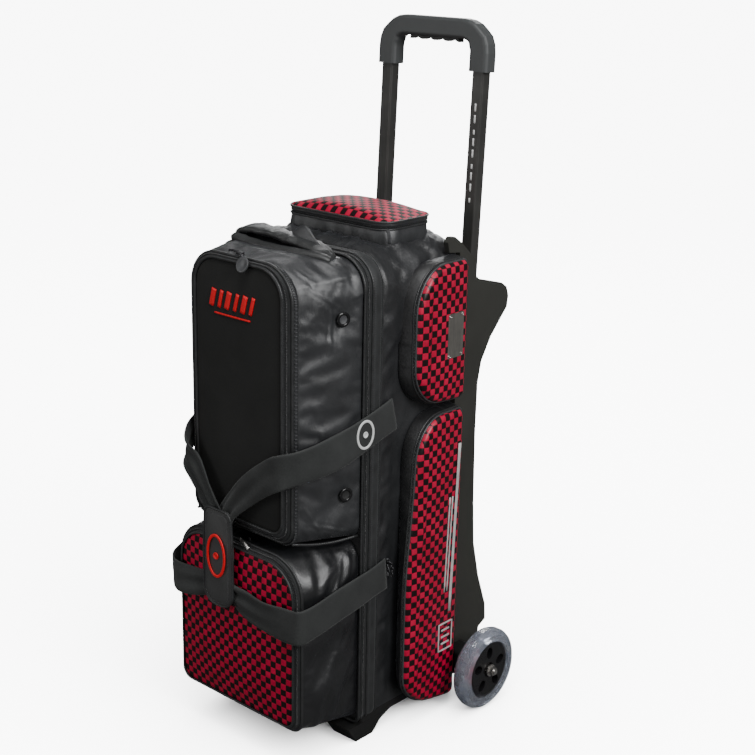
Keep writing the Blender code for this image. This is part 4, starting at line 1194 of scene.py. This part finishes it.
def pocket_section(spec, counts=(40, 52, 10)):
    """Return (outline, depth) of one section of the front pocket."""
    return outline(*spec[:3], *counts), spec[3]


def strap_dent(u, v, height):
    """Press the pocket's face in under the strap and let it swell below."""
    press = 0.003 * exp(-((v - 0.224) / 0.016) ** 2)
    swell = 0.0016 * exp(-((v - 0.13) / 0.045) ** 2)
    return u, v, height + (swell - press if height > -0.0005 else 0.0)


def make_front_pocket():
    """Make the lower front pocket: gusset, zipper band, piping and its checked face."""
    steps = 22
    points, count = rows_between("Y", pocket_section(POCKET_REAR), pocket_section(POCKET_FRONT), steps)
    held = set(range(count)) | set(range(steps * count, (steps + 1) * count))
    for index, point in enumerate(points):
        x, y, z = point
        t = (index // count) / steps
        if z < 0.055:
            held.add(index)
            continue
        out = Vector((copysign(1.0, x), 0.0, 0.0))
        upper = exp(-((z - 0.275) / 0.05) ** 2)
        crease = fold(y, z, 62.0, 0.026, 0.12, 11.0, 1.8)
        broad = fold(y, z, 75.0, 0.036, 0.11, 5.0, 2.0)
        strap = exp(-((z - 0.24) / 0.024) ** 2)
        rise = sin(pi * t) ** 0.8 * ((0.0004 + crease ** 1.6 * (0.0026 + 0.0062 * upper)
                                      + broad ** 1.6 * 0.003) * (1 - 0.85 * strap))
        if z > 0.3:
            out, rise = UP, sin(pi * t) * 0.0024 * crease
        points[index] += np.array(out) * rise
    gusset = make_piece("pocket_gusset", points, band_faces(steps + 1, count), "nylon_gloss",
                        "front_door")
    relax(gusset, held, 1.0, 0.012, 0.005, bend=4.0)
    add_creases(gusset, POCKET_CREASES)
    thicken(gusset, 0.0012)
    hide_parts("front_pocket")

    band = funnel("pocket_zip_band", "tape", "front_door", "Y", pocket_section(POCKET_FRONT),
                  pocket_section(POCKET_INNER), 3, thickness=0.0006)
    small = (24, 34, 9)
    flat, y = pocket_section(POCKET_FRONT, small)
    make_piping("pocket_outer_piping", lift(flat, "Y", y), 0.0021, "Y", "front_door")
    inner, y_inner = pocket_section(POCKET_INNER, small)
    make_piping("pocket_inner_piping", lift(inner, "Y", y_inner - 0.0004), 0.0017, "Y", "front_door")
    middle = lift(flat * 0.5 + inner * 0.5, "Y", (y + y_inner) / 2 - 0.001)
    make_piping("pocket_zip_coil", middle, 0.0014, "Y", "front_door", "zip_coil")

    face = pillow("pocket_face", "checker_front", "front_door", "Y", -0.2052, -1.0, (-0.1143, 0.0647),
                  (0.1143, 0.3073), (0.016, 0.016, 0.048, 0.048), 0.005, 0.004, step=6 * MM,
                  back="lining", roll=0.004, shape=strap_dent)


# ---- Side and top pockets -------------------------------------------------
def lid_crease(u, v, height):
    """Return the moulded ridge that runs down a side lid, a little behind its front edge."""
    if height < -0.0005:
        return 0.0
    place = 0.0002 + 0.0022 * noise.noise(Vector((0.0, v * 16.0, 3.0)))
    return 0.0027 * exp(-((u - place) / 0.0042) ** 2) - 0.0012 * exp(-((u - place - 0.009) / 0.005) ** 2)


def soften(level, y, z, share):
    """Return where a side pocket's point lies on its soft outline.

    share is 0 at the pocket's base and 1 at its lid.
    """
    forward = (0.0985 - y) / 0.12
    if level == "upper":
        back = 0.008 + 0.006 * share
        rise = 0.007 * min(1.0, max(0.0, (0.6 - z) / 0.1))
    else:
        slant = min(1.0, max(0.0, (z - 0.2) / 0.23))
        slant = slant * slant * (3 - 2 * slant)
        back = 0.015 * (1 - share) + 0.004 + 0.016 * slant * share
        rise = 0.026 * max(0.0, 1 - z / 0.11)
    return y + back * forward, z + rise * forward


def soften_all(level, points, share):
    """Move a row of a side pocket's points to its soft outline."""
    return np.array([(x, *soften(level, y, z, share)) for x, y, z in points])


def make_side_pockets():
    """Make the four side pockets and their checked lids."""
    for level, (low, high) in (("upper", (0.494, 0.704)), ("lower", (0.013, 0.484))):
        radii = (0.06, 0.01, 0.008, 0.066)
        counts = (22, 34 if level == "upper" else 62, 9)
        base_low, base_high = (-0.024, low), (0.1, high)
        base = outline(base_low, base_high, radii, *counts)
        rim = outline((-0.0222, low + 0.0018), (0.0998, high - 0.0018), radii, *counts)
        for label, sign in SIDES:
            steps = 7
            points, count = rows_between("X", (base, sign * 0.1305), (rim, sign * 0.152), steps)
            for index, point in enumerate(points):
                t = (index // count) / steps
                out = edge_direction(point[1:], base_low, base_high, radii)
                points[index][1:] = soften(level, point[1], point[2], t)
                if out[0] > 0.7:
                    continue
                crease = ridges((0.0, point[1] * 0.8, point[2]), 30.0, 17.0 + (level == "upper"), 2.2)
                rise = sin(pi * t) ** 0.7 * (0.0008 + 0.0016 * crease)
                points[index] += np.array((0.0, out[0], out[1])) * rise
            gusset = make_piece(f"side_gusset_{level}_{label}", points, band_faces(steps + 1, count),
                                "nylon_dark", "bag_body")
            thicken(gusset, 0.0012)
            refine(gusset)
            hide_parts(f"side_pocket_{level}_{label}")

            lid = pillow(f"side_cover_{level}_{label}", "checker_side", f"{level}_lid_{label}", "X",
                         sign * 0.1612, sign, (-0.0206, low + 0.0035), (0.0985, high - 0.0035), radii, 0.0022,
                         0.007, step=3.5 * MM, back="lining", roll=0.0066,
                         shape=lambda u, v, height: (*soften(level, u, v, 1.0),
                                                     height + lid_crease(u, v, height)))
            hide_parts(f"side_lid_{level}_{label}")
            small = (16, 24 if level == "upper" else 48, 8)
            trims = (
                ("side_lid_piping", (-0.0206, 0.0985, 0.0035), 0.1548, 1.0, 0.0017, "piping_grey", 8),
                ("side_rim_piping", (-0.0224, 0.0992, 0.0016), 0.1506, 0.95, 0.0015, "piping", 8),
                ("side_zip_coil", (-0.0216, 0.0986, 0.0024), 0.1527, 1.0, 0.0009, "zip_coil", 6))
            for name, (y_low, y_high, inset), depth, share, radius, material, sides in trims:
                path = soften_all(level, loop_path((y_low, low + inset), (y_high, high - inset), radii, "X",
                                                   sign * depth, *small), share)
                body = f"{level}_lid_{label}" if name == "side_lid_piping" else "bag_body"
                make_piping(f"{name}_{level}_{label}", path, radius, "X", body, material, sides=sides)


def make_top_pocket():
    """Make the shallow pocket on the bag's top and its domed, checked lid."""
    radii = (0.026,) * 4
    counts = (36, 22, 9)
    base_low, base_high = (-0.1005, -0.0135), (0.1005, 0.0925)
    base = outline(base_low, base_high, radii, *counts)
    rim = outline((-0.0975, -0.0105), (0.0975, 0.0925), radii, *counts)
    steps = 8
    points, count = rows_between("Z", (base, 0.7226), (rim, 0.7485), steps)
    for index, point in enumerate(points):
        t = (index // count) / steps
        out = edge_direction(point[:2], base_low, base_high, radii)
        if out[1] > 0.7:
            continue
        crease = ridges((point[0] * 0.8, point[1], 0.0), 30.0, 23.0, 2.2)
        rise = sin(pi * t) ** 0.7 * (0.0006 + 0.0018 * crease)
        points[index] += np.array((out[0], out[1], 0.0)) * rise
    gusset = make_piece("top_pocket_gusset", points, band_faces(steps + 1, count), "nylon", "bag_body")
    thicken(gusset, 0.0012)
    refine(gusset)
    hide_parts("top_pocket")

    lid = pillow("top_cover", "checker_top", "top_lid", "Z", 0.758, 1.0, (-0.0985, -0.0115),
                 (0.0985, 0.0945), radii, 0.0115, 0.003, step=6 * MM, back="lining", roll=0.003)
    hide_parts("top_pocket_lid")
    small = (26, 14, 8)
    edge = outline((-0.099, -0.012), (0.099, 0.0945), radii, *small)
    side = funnel("top_lid_band", "nylon", "top_lid", "Z", (edge, 0.7503), (edge, 0.756), 3, thickness=0.0008)
    levels = np.linspace(0.744, 0.757, 8)
    points = [(0.16 * k / 16 - 0.08, 0.0934, z) for k in range(17) for z in levels]
    hinge = make_piece("top_hinge_cloth", points, band_faces(17, 8, closed=False), "tape", None,
                       [(p[0], p[2] - 0.7505) for p in points])
    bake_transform(hinge)
    trims = (
        ("top_lid_piping", (0.099, -0.012, 0.0945), 0.7562, 0.0017, "top_lid", "piping", 8),
        ("top_zip_coil", (0.098, -0.011, 0.093), 0.7494, 0.001, "bag_body", "zip_coil", 6),
        ("top_rim_piping", (0.0988, -0.0118, 0.093), 0.7462, 0.0015, "bag_body", "piping", 8),
        ("top_base_piping", (0.1012, -0.0142, 0.0925), 0.7232, 0.0014, "bag_body", "piping", 8))
    for name, (half, front, rear), level, radius, body, material, sides in trims:
        path = loop_path((-half, front), (half, rear), radii, "Z", level, *small)
        make_piping(name, path, radius, "Z", body, material, sides=sides)


# ---- Straps, wrap and grab handle -----------------------------------------
WRAP_MIDDLE = -0.022
STRAP_Y = -0.2125
STRAP_DEPTH = 0.0013
UPPER_STRAP = (
    (0.135, -0.0262, 0.496), (0.136, -0.07, 0.485), (0.1335, -0.12, 0.471), (0.126, -0.162, 0.461),
    (0.114, -0.194, 0.454), (0.093, STRAP_Y, 0.446), (0.058, STRAP_Y, 0.424), (0.025, STRAP_Y, 0.397),
    (0.0, STRAP_Y, 0.372), (-0.016, STRAP_Y, 0.35), (-0.03, STRAP_Y, 0.35), (-0.048, STRAP_Y, 0.376),
    (-0.07, STRAP_Y, 0.406), (-0.089, -0.211, 0.428), (-0.0992, -0.2, 0.445), (-0.1095, -0.172, 0.457),
    (-0.125, -0.125, 0.468), (-0.134, -0.075, 0.482), (-0.135, -0.0262, 0.496),
)
LOWER_STRAP = (
    (0.136, -0.038, 0.256), (0.14, -0.09, 0.25), (0.14, -0.14, 0.243), (0.1385, -0.18, 0.235),
    (0.133, -0.208, 0.23), (0.112, STRAP_Y, 0.227), (0.062, STRAP_Y, 0.226), (0.025, STRAP_Y, 0.233),
    (-0.005, STRAP_Y, 0.24), (-0.04, STRAP_Y, 0.24), (-0.08, STRAP_Y - 0.002, 0.233),
    (-0.119, -0.2125, 0.229), (-0.144, -0.194, 0.231), (-0.153, -0.15, 0.24), (-0.148, -0.095, 0.25),
    (-0.136, -0.038, 0.256),
)
# The webbing is gathered where the wrap holds it and has its full width from this far out.
STRAP_FULL_HALF, STRAP_GATHERED_HALF, STRAP_SPREAD = 0.0245, 0.015, 0.125


def make_strap(name, route, node, seed):
    """Run webbing along its route, standing on edge, gathered and folded toward the middle."""
    path = smooth_path(route, 9)
    points, uvs = [], []
    rib = 14
    run = 0.0
    for index, centre in enumerate(path):
        ahead, behind = path[min(index + 1, len(path) - 1)], path[max(index - 1, 0)]
        along = (ahead - behind).normalized()
        outward = Vector((along.y, -along.x, 0.0)).normalized()
        across = outward.cross(along).normalized()
        spread = min(1.0, abs(centre.x - WRAP_MIDDLE) / STRAP_SPREAD)
        wave = noise.noise(Vector((run * 14.0, seed, 0.0))) * (0.22 + 0.3 * (1 - spread))
        across = (across + outward * wave).normalized()
        outward = along.cross(across).normalized() * (1 if along.cross(across).dot(outward) > 0 else -1)
        if index:
            run += (centre - path[index - 1]).length
        half = STRAP_GATHERED_HALF + (STRAP_FULL_HALF - STRAP_GATHERED_HALF) * spread ** 0.7
        pleat = 0.003 * (1 - spread) ** 1.2
        for side in (1.0, -1.0):
            for k in range(rib + 1):
                share = (k / rib * 2 - 1) * side
                cup = 0.0016 * (1 - share * share) * noise.noise(Vector((run * 9.0, seed + 4.0, 0.0)))
                pucker = pleat * sin(share * 6.0 + run * 22.0 + seed)
                thin = STRAP_DEPTH * (1.0 - 0.35 * abs(share) ** 6)
                points.append(centre + across * (share * half) + outward * (side * thin + cup + pucker))
                uvs.append((run, share * STRAP_FULL_HALF))
    count = 2 * (rib + 1)
    faces = band_faces(len(path), count)
    faces.append(tuple(range(count)))
    faces.append(tuple((len(path) - 1) * count + k for k in reversed(range(count))))
    strap = make_piece(name, points, faces, "webbing", "bag_body", uvs)
    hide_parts(node)
    return strap


def wrap_buckle(u, v, height):
    """Bend the wrap a little: narrower at the top, rippled along its sides."""
    narrow = 1.0 - 0.1 * max(0.0, (v - 0.3) / 0.063)
    ripple = 0.001 * noise.noise(Vector((u * 30.0, v * 34.0, 1.0)))
    return WRAP_MIDDLE + (u - WRAP_MIDDLE) * narrow, v, height + (ripple if height > -0.003 else 0.0)


def wrap_path(low, high, radii, y):
    """Return a closed path on the wrap, bent as the wrap is."""
    path = []
    for spot in loop_path(low, high, radii, "Y", y, 8, 18, 6):
        x, z, ripple = wrap_buckle(spot.x, spot.z, 0.0)
        path.append(Vector((x, spot.y - ripple, z)))
    return path


def make_stitches(name, path, pitch, gauge, facing, material, body):
    """Lay a row of raised stitches along a closed path."""
    points, faces = [], []
    for centre, along, spacing in spots_along(path, pitch):
        half = spacing * 0.32
        add_bead(points, faces, centre, along, along.cross(facing).normalized(), facing,
                 [(reach * half, gauge * size, gauge * size) for reach, size in STITCH_STATIONS])
    return make_piece(name, points, faces, material, body)


def make_straps():
    """Make the two carry straps, the padded wrap that holds them and their badges."""
    upper = make_strap("strap_upper", UPPER_STRAP, "carry_strap_upper", 2.0)
    lower = make_strap("strap_lower", LOWER_STRAP, "carry_strap_lower", 6.0)
    radii = (0.024, 0.024, 0.012, 0.012)
    wrap = pillow("wrap_front", "wrap_cloth", "bag_body", "Y", -0.2185, -1.0, (-0.052, 0.215),
                  (0.008, 0.363), radii, 0.0034, 0.0035, step=4 * MM, back="lining", roll=0.003,
                  shape=wrap_buckle)
    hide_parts("strap_wrap")
    border = wrap_path((-0.0514, 0.2156), (0.0074, 0.3624), radii, -0.218)
    binding = make_piping("wrap_binding", border, 0.0019, "Y", "bag_body")
    stitch = wrap_path((-0.0455, 0.2215), (0.0015, 0.3565), (0.018, 0.018, 0.007, 0.007), -0.221)
    seam = make_stitches("wrap_stitches", stitch, 0.0034, 0.00045, -REARWARD, "piping_grey", "bag_body")
    badge = make_ring_badge("wrap_badge", (-0.0205, -0.2234, 0.294), (0.0, -1.0, 0.0), 0.0172, 0.0312,
                            "red_badge", "bag_body")
    badge_strap = make_ring_badge("strap_badge", (0.1374, -0.088, 0.4805), (1.0, -0.05, 0.0), 0.015, 0.0195,
                                  "white_badge", "bag_body")
    for piece in (upper, lower, wrap, binding, seam, badge, badge_strap):
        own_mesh(piece)


BADGE_DEPTH = 0.0009


def make_ring_badge(name, centre, facing, half_width, half_height, material, body):
    """Make a plain oval ring with a round dot in its middle."""
    facing = Vector(facing).normalized()
    path = oval_path(Vector(centre), facing, half_width, half_height, 40)
    ring = sweep(name, path, material, None, half_width * 0.13, BADGE_DEPTH, facing, True, 8, 0.4)
    dot = make_disc(f"{name}_dot", centre, facing, half_width * 0.3, BADGE_DEPTH, material, None)
    return join_parts(name, [ring, dot], body)


def make_grab_handle():
    """Make the soft padded loop over the front compartment and its end tabs."""
    route = [(-0.08, -0.112, 0.719), (-0.079, -0.113, 0.729), (-0.07, -0.113, 0.739),
             (-0.05, -0.112, 0.7445), (-0.015, -0.11, 0.743), (0.018, -0.109, 0.74),
             (0.046, -0.109, 0.737), (0.068, -0.11, 0.732), (0.084, -0.111, 0.725), (0.09, -0.112, 0.718)]
    path = smooth_path(route, 6)
    widths, depths, refs = [], [], []
    total = len(path) - 1
    for index in range(total + 1):
        t = index / total
        body = sin(pi * min(max((t - 0.06) / 0.88, 0.0), 1.0)) ** 0.35
        wrinkle = 1.0 + 0.16 * noise.noise(Vector((t * 18.0, 9.0, 1.0)))
        widths.append((0.0105 + 0.007 * body) * wrinkle)
        depths.append((0.002 + 0.004 * body) * (1.0 + 0.3 * noise.noise(Vector((t * 22.0, 2.0, 5.0)))))
        ahead, behind = path[min(index + 1, total)], path[max(index - 1, 0)]
        along = (ahead - behind).normalized()
        refs.append(Vector((-along.z, 0.0, along.x)))
    handle = sweep("grab_loop", path, "nylon_soft", "front_door", widths, depths, refs, False, 16, 0.45)
    for vertex in handle.data.vertices:
        spot = vertex.co
        pinch = fold(spot.x, spot.y * 2.0 + spot.z, 75.0, 0.01, 0.06, 21.0, 2.0)
        vertex.co.z = spot.z - 0.003 * pinch * exp(-((spot.x + 0.01) / 0.07) ** 4)
    refine(handle)
    front = smooth_path([(-0.081, -0.117, 0.72), (-0.078, -0.127, 0.729), (-0.056, -0.134, 0.73),
                         (-0.02, -0.136, 0.728), (0.02, -0.135, 0.727), (0.056, -0.131, 0.727),
                         (0.082, -0.123, 0.725), (0.093, -0.115, 0.72)], 6)
    swell = [1.0 + 0.25 * noise.noise(Vector((k * 0.45, 3.0, 8.0))) for k in range(len(front))]
    roll = sweep("grab_roll", front, "nylon_soft", "front_door", [0.0068 * s for s in swell],
                 [0.0056 * s for s in swell], (0.0, -0.4, 1.0), False, 14, 0.25)
    refine(roll)
    floor = smooth_path([(-0.074, -0.118, 0.729), (-0.03, -0.119, 0.731), (0.02, -0.118, 0.73),
                         (0.076, -0.115, 0.727)], 8)
    web = sweep("grab_web", floor, "nylon_dark", "front_door", 0.0165, 0.0014, (0.0, -0.42, 0.9), False, 10,
                0.4)
    path = smooth_path([(0.008, -0.108, 0.737), (0.025, -0.109, 0.743), (0.042, -0.109, 0.742),
                        (0.064, -0.1085, 0.734), (0.088, -0.108, 0.725)], 5)
    widths = [0.004 + 0.012 * exp(-((k - 8) / 4.5) ** 2) for k in range(len(path))]
    tab = sweep("grab_tab", path, "nylon", "front_door", widths, 0.0012, (0.0, -1.0, 0.35), False, 10, 0.3)
    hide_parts("grab_handle")


# ---- Marks, pulls and fittings --------------------------------------------
PRINT_DEPTH = 0.0007
LID_FACE_X = 0.1637
# Each panel bar is (x, half width), each lid bar (y, low z, high z, half width).
PANEL_BARS = ((-0.044, 0.0045), (-0.028, 0.003), (-0.013, 0.0045), (0.003, 0.003), (0.018, 0.0045),
              (0.033, 0.003))
LID_BARS = ((0.088, 0.165, 0.43, 0.003), (0.079, 0.2, 0.35, 0.0014), (0.073, 0.2, 0.35, 0.0014))
LID_FRAME = ((0.054, 0.104), (0.084, 0.104), (0.084, 0.148), (0.054, 0.148))


def make_panel_mark():
    """Make the slanted red bars and the plain rule on the front panel."""
    parts = []
    for k, (x, half) in enumerate(PANEL_BARS):
        spine = []
        for i in range(9):
            z = 0.65 + 0.024 * i / 8
            lean = x + 0.006 * (i / 8 - 0.5)
            spine.append(Vector((lean, panel_level(lean, z) - 0.0006, z)))
        parts.append(sweep(f"panel_slash_{k}", spine, "red_badge", None, half, 0.0008, -REARWARD, False, 8,
                           0.7))
    rule = []
    for k in range(17):
        x, z = -0.04 + 0.07 * k / 16, 0.6415
        rule.append(Vector((x, panel_level(x, z) - 0.0006, z)))
    parts.append(sweep("panel_bar", rule, "red_badge", None, 0.0012, PRINT_DEPTH, -REARWARD, False, 8, 0.7))
    mark = join_parts("panel_mark", parts, None)
    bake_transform(mark)


def make_lid_marks():
    """Make the silver bars and the frame of level bars on each lower side lid."""
    for label, sign in SIDES:
        spines = []
        for k, (y, low, high, half) in enumerate(LID_BARS):
            levels = [low + (high - low) * i / 12 for i in range(13)]
            spines.append((f"lid_bar_{k}", [(y - 0.018 * (1 - z / 0.43), z) for z in levels], half, False))
        corners = [Vector(c) for c in LID_FRAME]
        ring = [corners[i].lerp(corners[(i + 1) % 4], k / 6) for i in range(4) for k in range(6)]
        spines.append(("lid_frame", ring, 0.0013, True))
        for k in range(3):
            rung = [(0.06 + 0.018 * i / 4, 0.115 + 0.011 * k) for i in range(5)]
            spines.append((f"lid_level_{k}", rung, 0.0015, False))
        parts = [sweep(name, [(sign * LID_FACE_X, y, z) for y, z in spine], "silver_print", None, half,
                       PRINT_DEPTH, (sign, 0.0, 0.0), closed, 8, 0.6) for name, spine, half, closed in spines]
        mark = join_parts(f"lid_mark_{label}", parts, f"lower_lid_{label}")


def make_tube_dashes():
    """Make the row of white dashes up the right inner tube."""
    low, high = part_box("inner_tube_right")
    foot = Vector(((low.x + high.x) / 2, 0.162 - 0.0092, 0.0))
    lean = Vector((0.0, 0.044, 1.0)).normalized()
    dashes = []
    for k in range(9):
        start = 0.76 + 0.0165 * k
        length = 0.0115 if k % 3 else 0.007
        spine = [foot + lean * (start + length * i / 4) for i in range(5)]
        dashes.append(sweep(f"tube_dash_{k}", spine, "white_badge", None, 0.0015, 0.0002, (0.0, -1.0, 0.04),
                            False, 8, 0.7))
    join_parts("tube_dashes", dashes, "handle")


def make_rivets():
    """Put a rivet in each corner of the metal plates."""
    inset = 0.0035
    for label, sign in SIDES:
        low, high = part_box(f"metal_plate_{label}")
        face = (high.x if sign > 0 else low.x) + sign * 0.0004
        rivets = [make_disc(f"rivet_{y:.3f}_{z:.3f}", (face, y, z), (sign, 0.0, 0.0), 0.0017, 0.0007, "steel",
                            None)
                  for y in (low.y + inset, high.y - inset) for z in (low.z + inset, high.z - inset)]
        join_parts(f"plate_rivets_{label}", rivets, f"upper_lid_{label}")


def make_pulls():
    """Hang the zipper pulls: chains, a round tab and cloth tabs."""
    x, y, z = -0.01, -0.1885, 0.727
    make_chain("shoe_pull_chain", [(x - 0.018, y + 0.004, z - 0.0005), (x - 0.008, y + 0.002, z + 0.0016),
                                   (x + 0.006, y - 0.001, z + 0.0016), (x + 0.018, y - 0.006, z - 0.001),
                                   (x + 0.024, y - 0.0105, z - 0.004)], "front_door", 0.0008, 0.005)
    tab = make_disc("shoe_pull_tab", (x + 0.028, y - 0.0148, z - 0.01), (0.2, -1.0, 0.45), 0.0095, 0.0012,
                    "piping_grey", "front_door", 1.15)
    make_chain("main_pull_chain", [(0.002, -0.095, 0.729), (0.01, -0.096, 0.731), (0.02, -0.0955, 0.73),
                                   (0.028, -0.094, 0.728)], "front_door")
    make_chain("bay_pull_chain", [(0.1345, -0.034, 0.276), (0.1385, -0.03, 0.27), (0.14, -0.028, 0.26),
                                  (0.1395, -0.029, 0.25)], "bag_body", 0.0009, 0.0056)
    make_chain("bay_pull_chain_two", [(0.135, -0.03, 0.268), (0.1375, -0.0345, 0.26),
                                      (0.1385, -0.036, 0.252)], "bag_body", 0.0009, 0.0056)
    for name, path, body in (
            ("pocket_pull", [(0.006, -0.201, 0.3212), (0.016, -0.204, 0.32), (0.029, -0.207, 0.315)],
             "front_door"),
            ("top_pull", [(0.099, -0.008, 0.748), (0.104, -0.01, 0.742), (0.106, -0.0105, 0.73)],
             "bag_body")):
        ends = smooth_path(path, 4)
        metal = "steel" if name == "pocket_pull" else "piping_grey"
        pull = sweep(name, ends, metal, body, 0.0026, 0.0009, (0.3, -1.0, 0.3), False, 10, 0.6)
    tag = sweep("seam_tag", [(0.129, 0.089, 0.712), (0.132, 0.0885, 0.713), (0.1345, 0.088, 0.7115)],
                "red_badge", "bag_body", 0.003, 0.0006, (0.0, 0.0, 1.0), False, 8, 0.6)


def make_hem_piping():
    """Lay the piping along the lower corner of the shoe compartment, which sags a little."""
    for label, sign in SIDES:
        path = [(sign * (0.096 + 0.03 * t), -0.188 + 0.0995 * t, 0.336 - 0.008 * t - 0.005 * sin(pi * t))
                for t in (k / 12 for k in range(13))]
        make_piping(f"shoe_hem_{label}", path, 0.0019, "Z", "front_door", closed=False)


# ---- Finishes for the CAD nodes -------------------------------------------
def dress(node, material, bevel=0.0, angle=30.0):
    """Give a CAD node its material, soft shading and, where asked, rounded edges."""
    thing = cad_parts[node]
    thing.data.materials.clear()
    thing.data.materials.append(MATERIALS[material])
    thing.data.shade_smooth()
    thing.data.set_sharp_from_angle(angle=radians(angle))
    if bevel:
        edge = thing.modifiers.new("Edge", "BEVEL")
        edge.width = bevel
        edge.segments = 3
        edge.limit_method = "ANGLE"
        edge.angle_limit = radians(angle)
        edge.harden_normals = True


# Each row is (material, bevel width, nodes); {side} stands for left and right.
FINISHES = (
    ("cheek_plastic", 0.0016, "rear_cheek_{side}"),
    ("moulded", 0.0012, "base_tray axle_bracket_{side} front_foot_{side} rear_cover tube_bracket axle_beam"),
    ("moulded", 0.001, "handle_bezel"),
    ("tube", 0.0, "outer_tube_{side} inner_tube_{side}"),
    ("grip_dark", 0.0, "release_trigger"),
    ("clear_urethane", 0.0, "tyre_{side}"),
    ("hub", 0.0006, "wheel_hub_{side}"),
    ("steel", 0.0, "wheel_bearing_{side} axle_rod"),
    ("steel", 0.0004, "axle_nut_{side}"),
    ("plate", 0.0003, "metal_plate_{side}"),
    ("foam", 0.002, "ball_cradle_low ball_cradle_mid ball_cradle_high"),
    ("dark_metal", 0.0006, "main_zip_slider shoe_zip_slider pocket_zip_slider"),
)


def dress_nodes():
    """Give every shown CAD node its finish."""
    for material, bevel, names in FINISHES:
        for name in names.split():
            for label, _ in SIDES if "{side}" in name else (("", 0.0),):
                dress(name.format(side=label), material, bevel)
    dress("handle_grip", "grip", 0.0008, 40.0)


MATERIALS = {
    "nylon": nylon_material(),
    "nylon_bay": nylon_material("nylon_bay", 0.34, (0.01, 0.0105, 0.0114), 1.1),
    "nylon_gloss": nylon_material("nylon_gloss", 0.3, (0.006, 0.0063, 0.007), 0.35),
    "nylon_dark": nylon_material("nylon_dark", 0.42, (0.0045, 0.0046, 0.005), 0.7),
    "nylon_soft": nylon_material("nylon_soft", 0.44, (0.009, 0.0098, 0.0098), 0.9),
    "lining": nylon_material("lining", 0.6, (0.007, 0.0071, 0.0078), 0.5),
    "padding": padding_material(),
    "checker_front": checker_material("checker_front", "xz"),
    "checker_side": checker_material("checker_side", "yz", 0.4, 0.34, 0.3),
    "checker_top": checker_material("checker_top", "xy", 0.5, 0.0),
    "webbing": webbing_material(),
    "piping": piping_material(),
    "piping_grey": piping_material("piping_grey", (0.034, 0.035, 0.037), 0.3),
    "tape": tape_material(),
    "zip_coil": coil_material(),
    "cheek_plastic": plastic_material("cheek_plastic", (0.025, 0.025, 0.0215), (0.034, 0.034, 0.0292), 0.5),
    "moulded": plastic_material("moulded", (0.0065, 0.0065, 0.0065), (0.0125, 0.0125, 0.012), 0.44,
                                wear=(0.06, 0.06, 0.06)),
    "grip": plastic_material("grip", (0.047, 0.05, 0.0508), (0.065, 0.0685, 0.069), 0.46, 0.14, 700.0,
                             wear=(0.16, 0.16, 0.16)),
    "grip_dark": plastic_material("grip_dark", (0.015, 0.0157, 0.0165), (0.024, 0.0248, 0.0255), 0.42),
    "hub": plastic_material("hub", (0.0075, 0.0075, 0.0082), (0.013, 0.013, 0.0138), 0.28),
    "tube": tube_material(),
    "steel": metal_material("steel", (0.72, 0.7, 0.67), 0.2, (0.02, 1.0, 1.0)),
    "plate": metal_material("plate", (0.52, 0.5, 0.46), 0.3, (1.0, 1.0, 0.03)),
    "dark_metal": metal_material("dark_metal", (0.1, 0.1, 0.105), 0.26, (1.0, 1.0, 0.4)),
    "clear_urethane": clear_material(),
    "wrap_cloth": nylon_material("wrap_cloth", 0.54, (0.019, 0.0195, 0.0195), 0.6),
    "red_badge": enamel_material("red_badge", (0.7, 0.0, 0.004), (0.88, 0.0, 0.01)),
    "white_badge": enamel_material("white_badge", (0.62, 0.63, 0.62), (0.8, 0.81, 0.8)),
    "silver_print": enamel_material("silver_print", (0.42, 0.41, 0.4), (0.62, 0.61, 0.6), 0.28),
    "foam": foam_material(),
    "mesh": nylon_material("mesh", 0.5, (0.036, 0.037, 0.04), 0.3),
    "ring_black": plastic_material("ring_black", (0.006, 0.006, 0.0065), (0.011, 0.011, 0.0115), 0.22),
    # Painted shade: the near-black colour of the disc inside the lower eyelets' open well.
    "well": nylon_material("well", 0.7, (0.0015, 0.0015, 0.0016), 0.1),
}

make_camera()
make_stage()
dress_nodes()
make_bay()
make_main_zip()
make_shoe_compartment()
make_front_pocket()
make_side_pockets()
make_top_pocket()
make_straps()
make_grab_handle()
make_panel_mark()
make_lid_marks()
make_tube_dashes()
make_rivets()
make_pulls()
make_hem_piping()
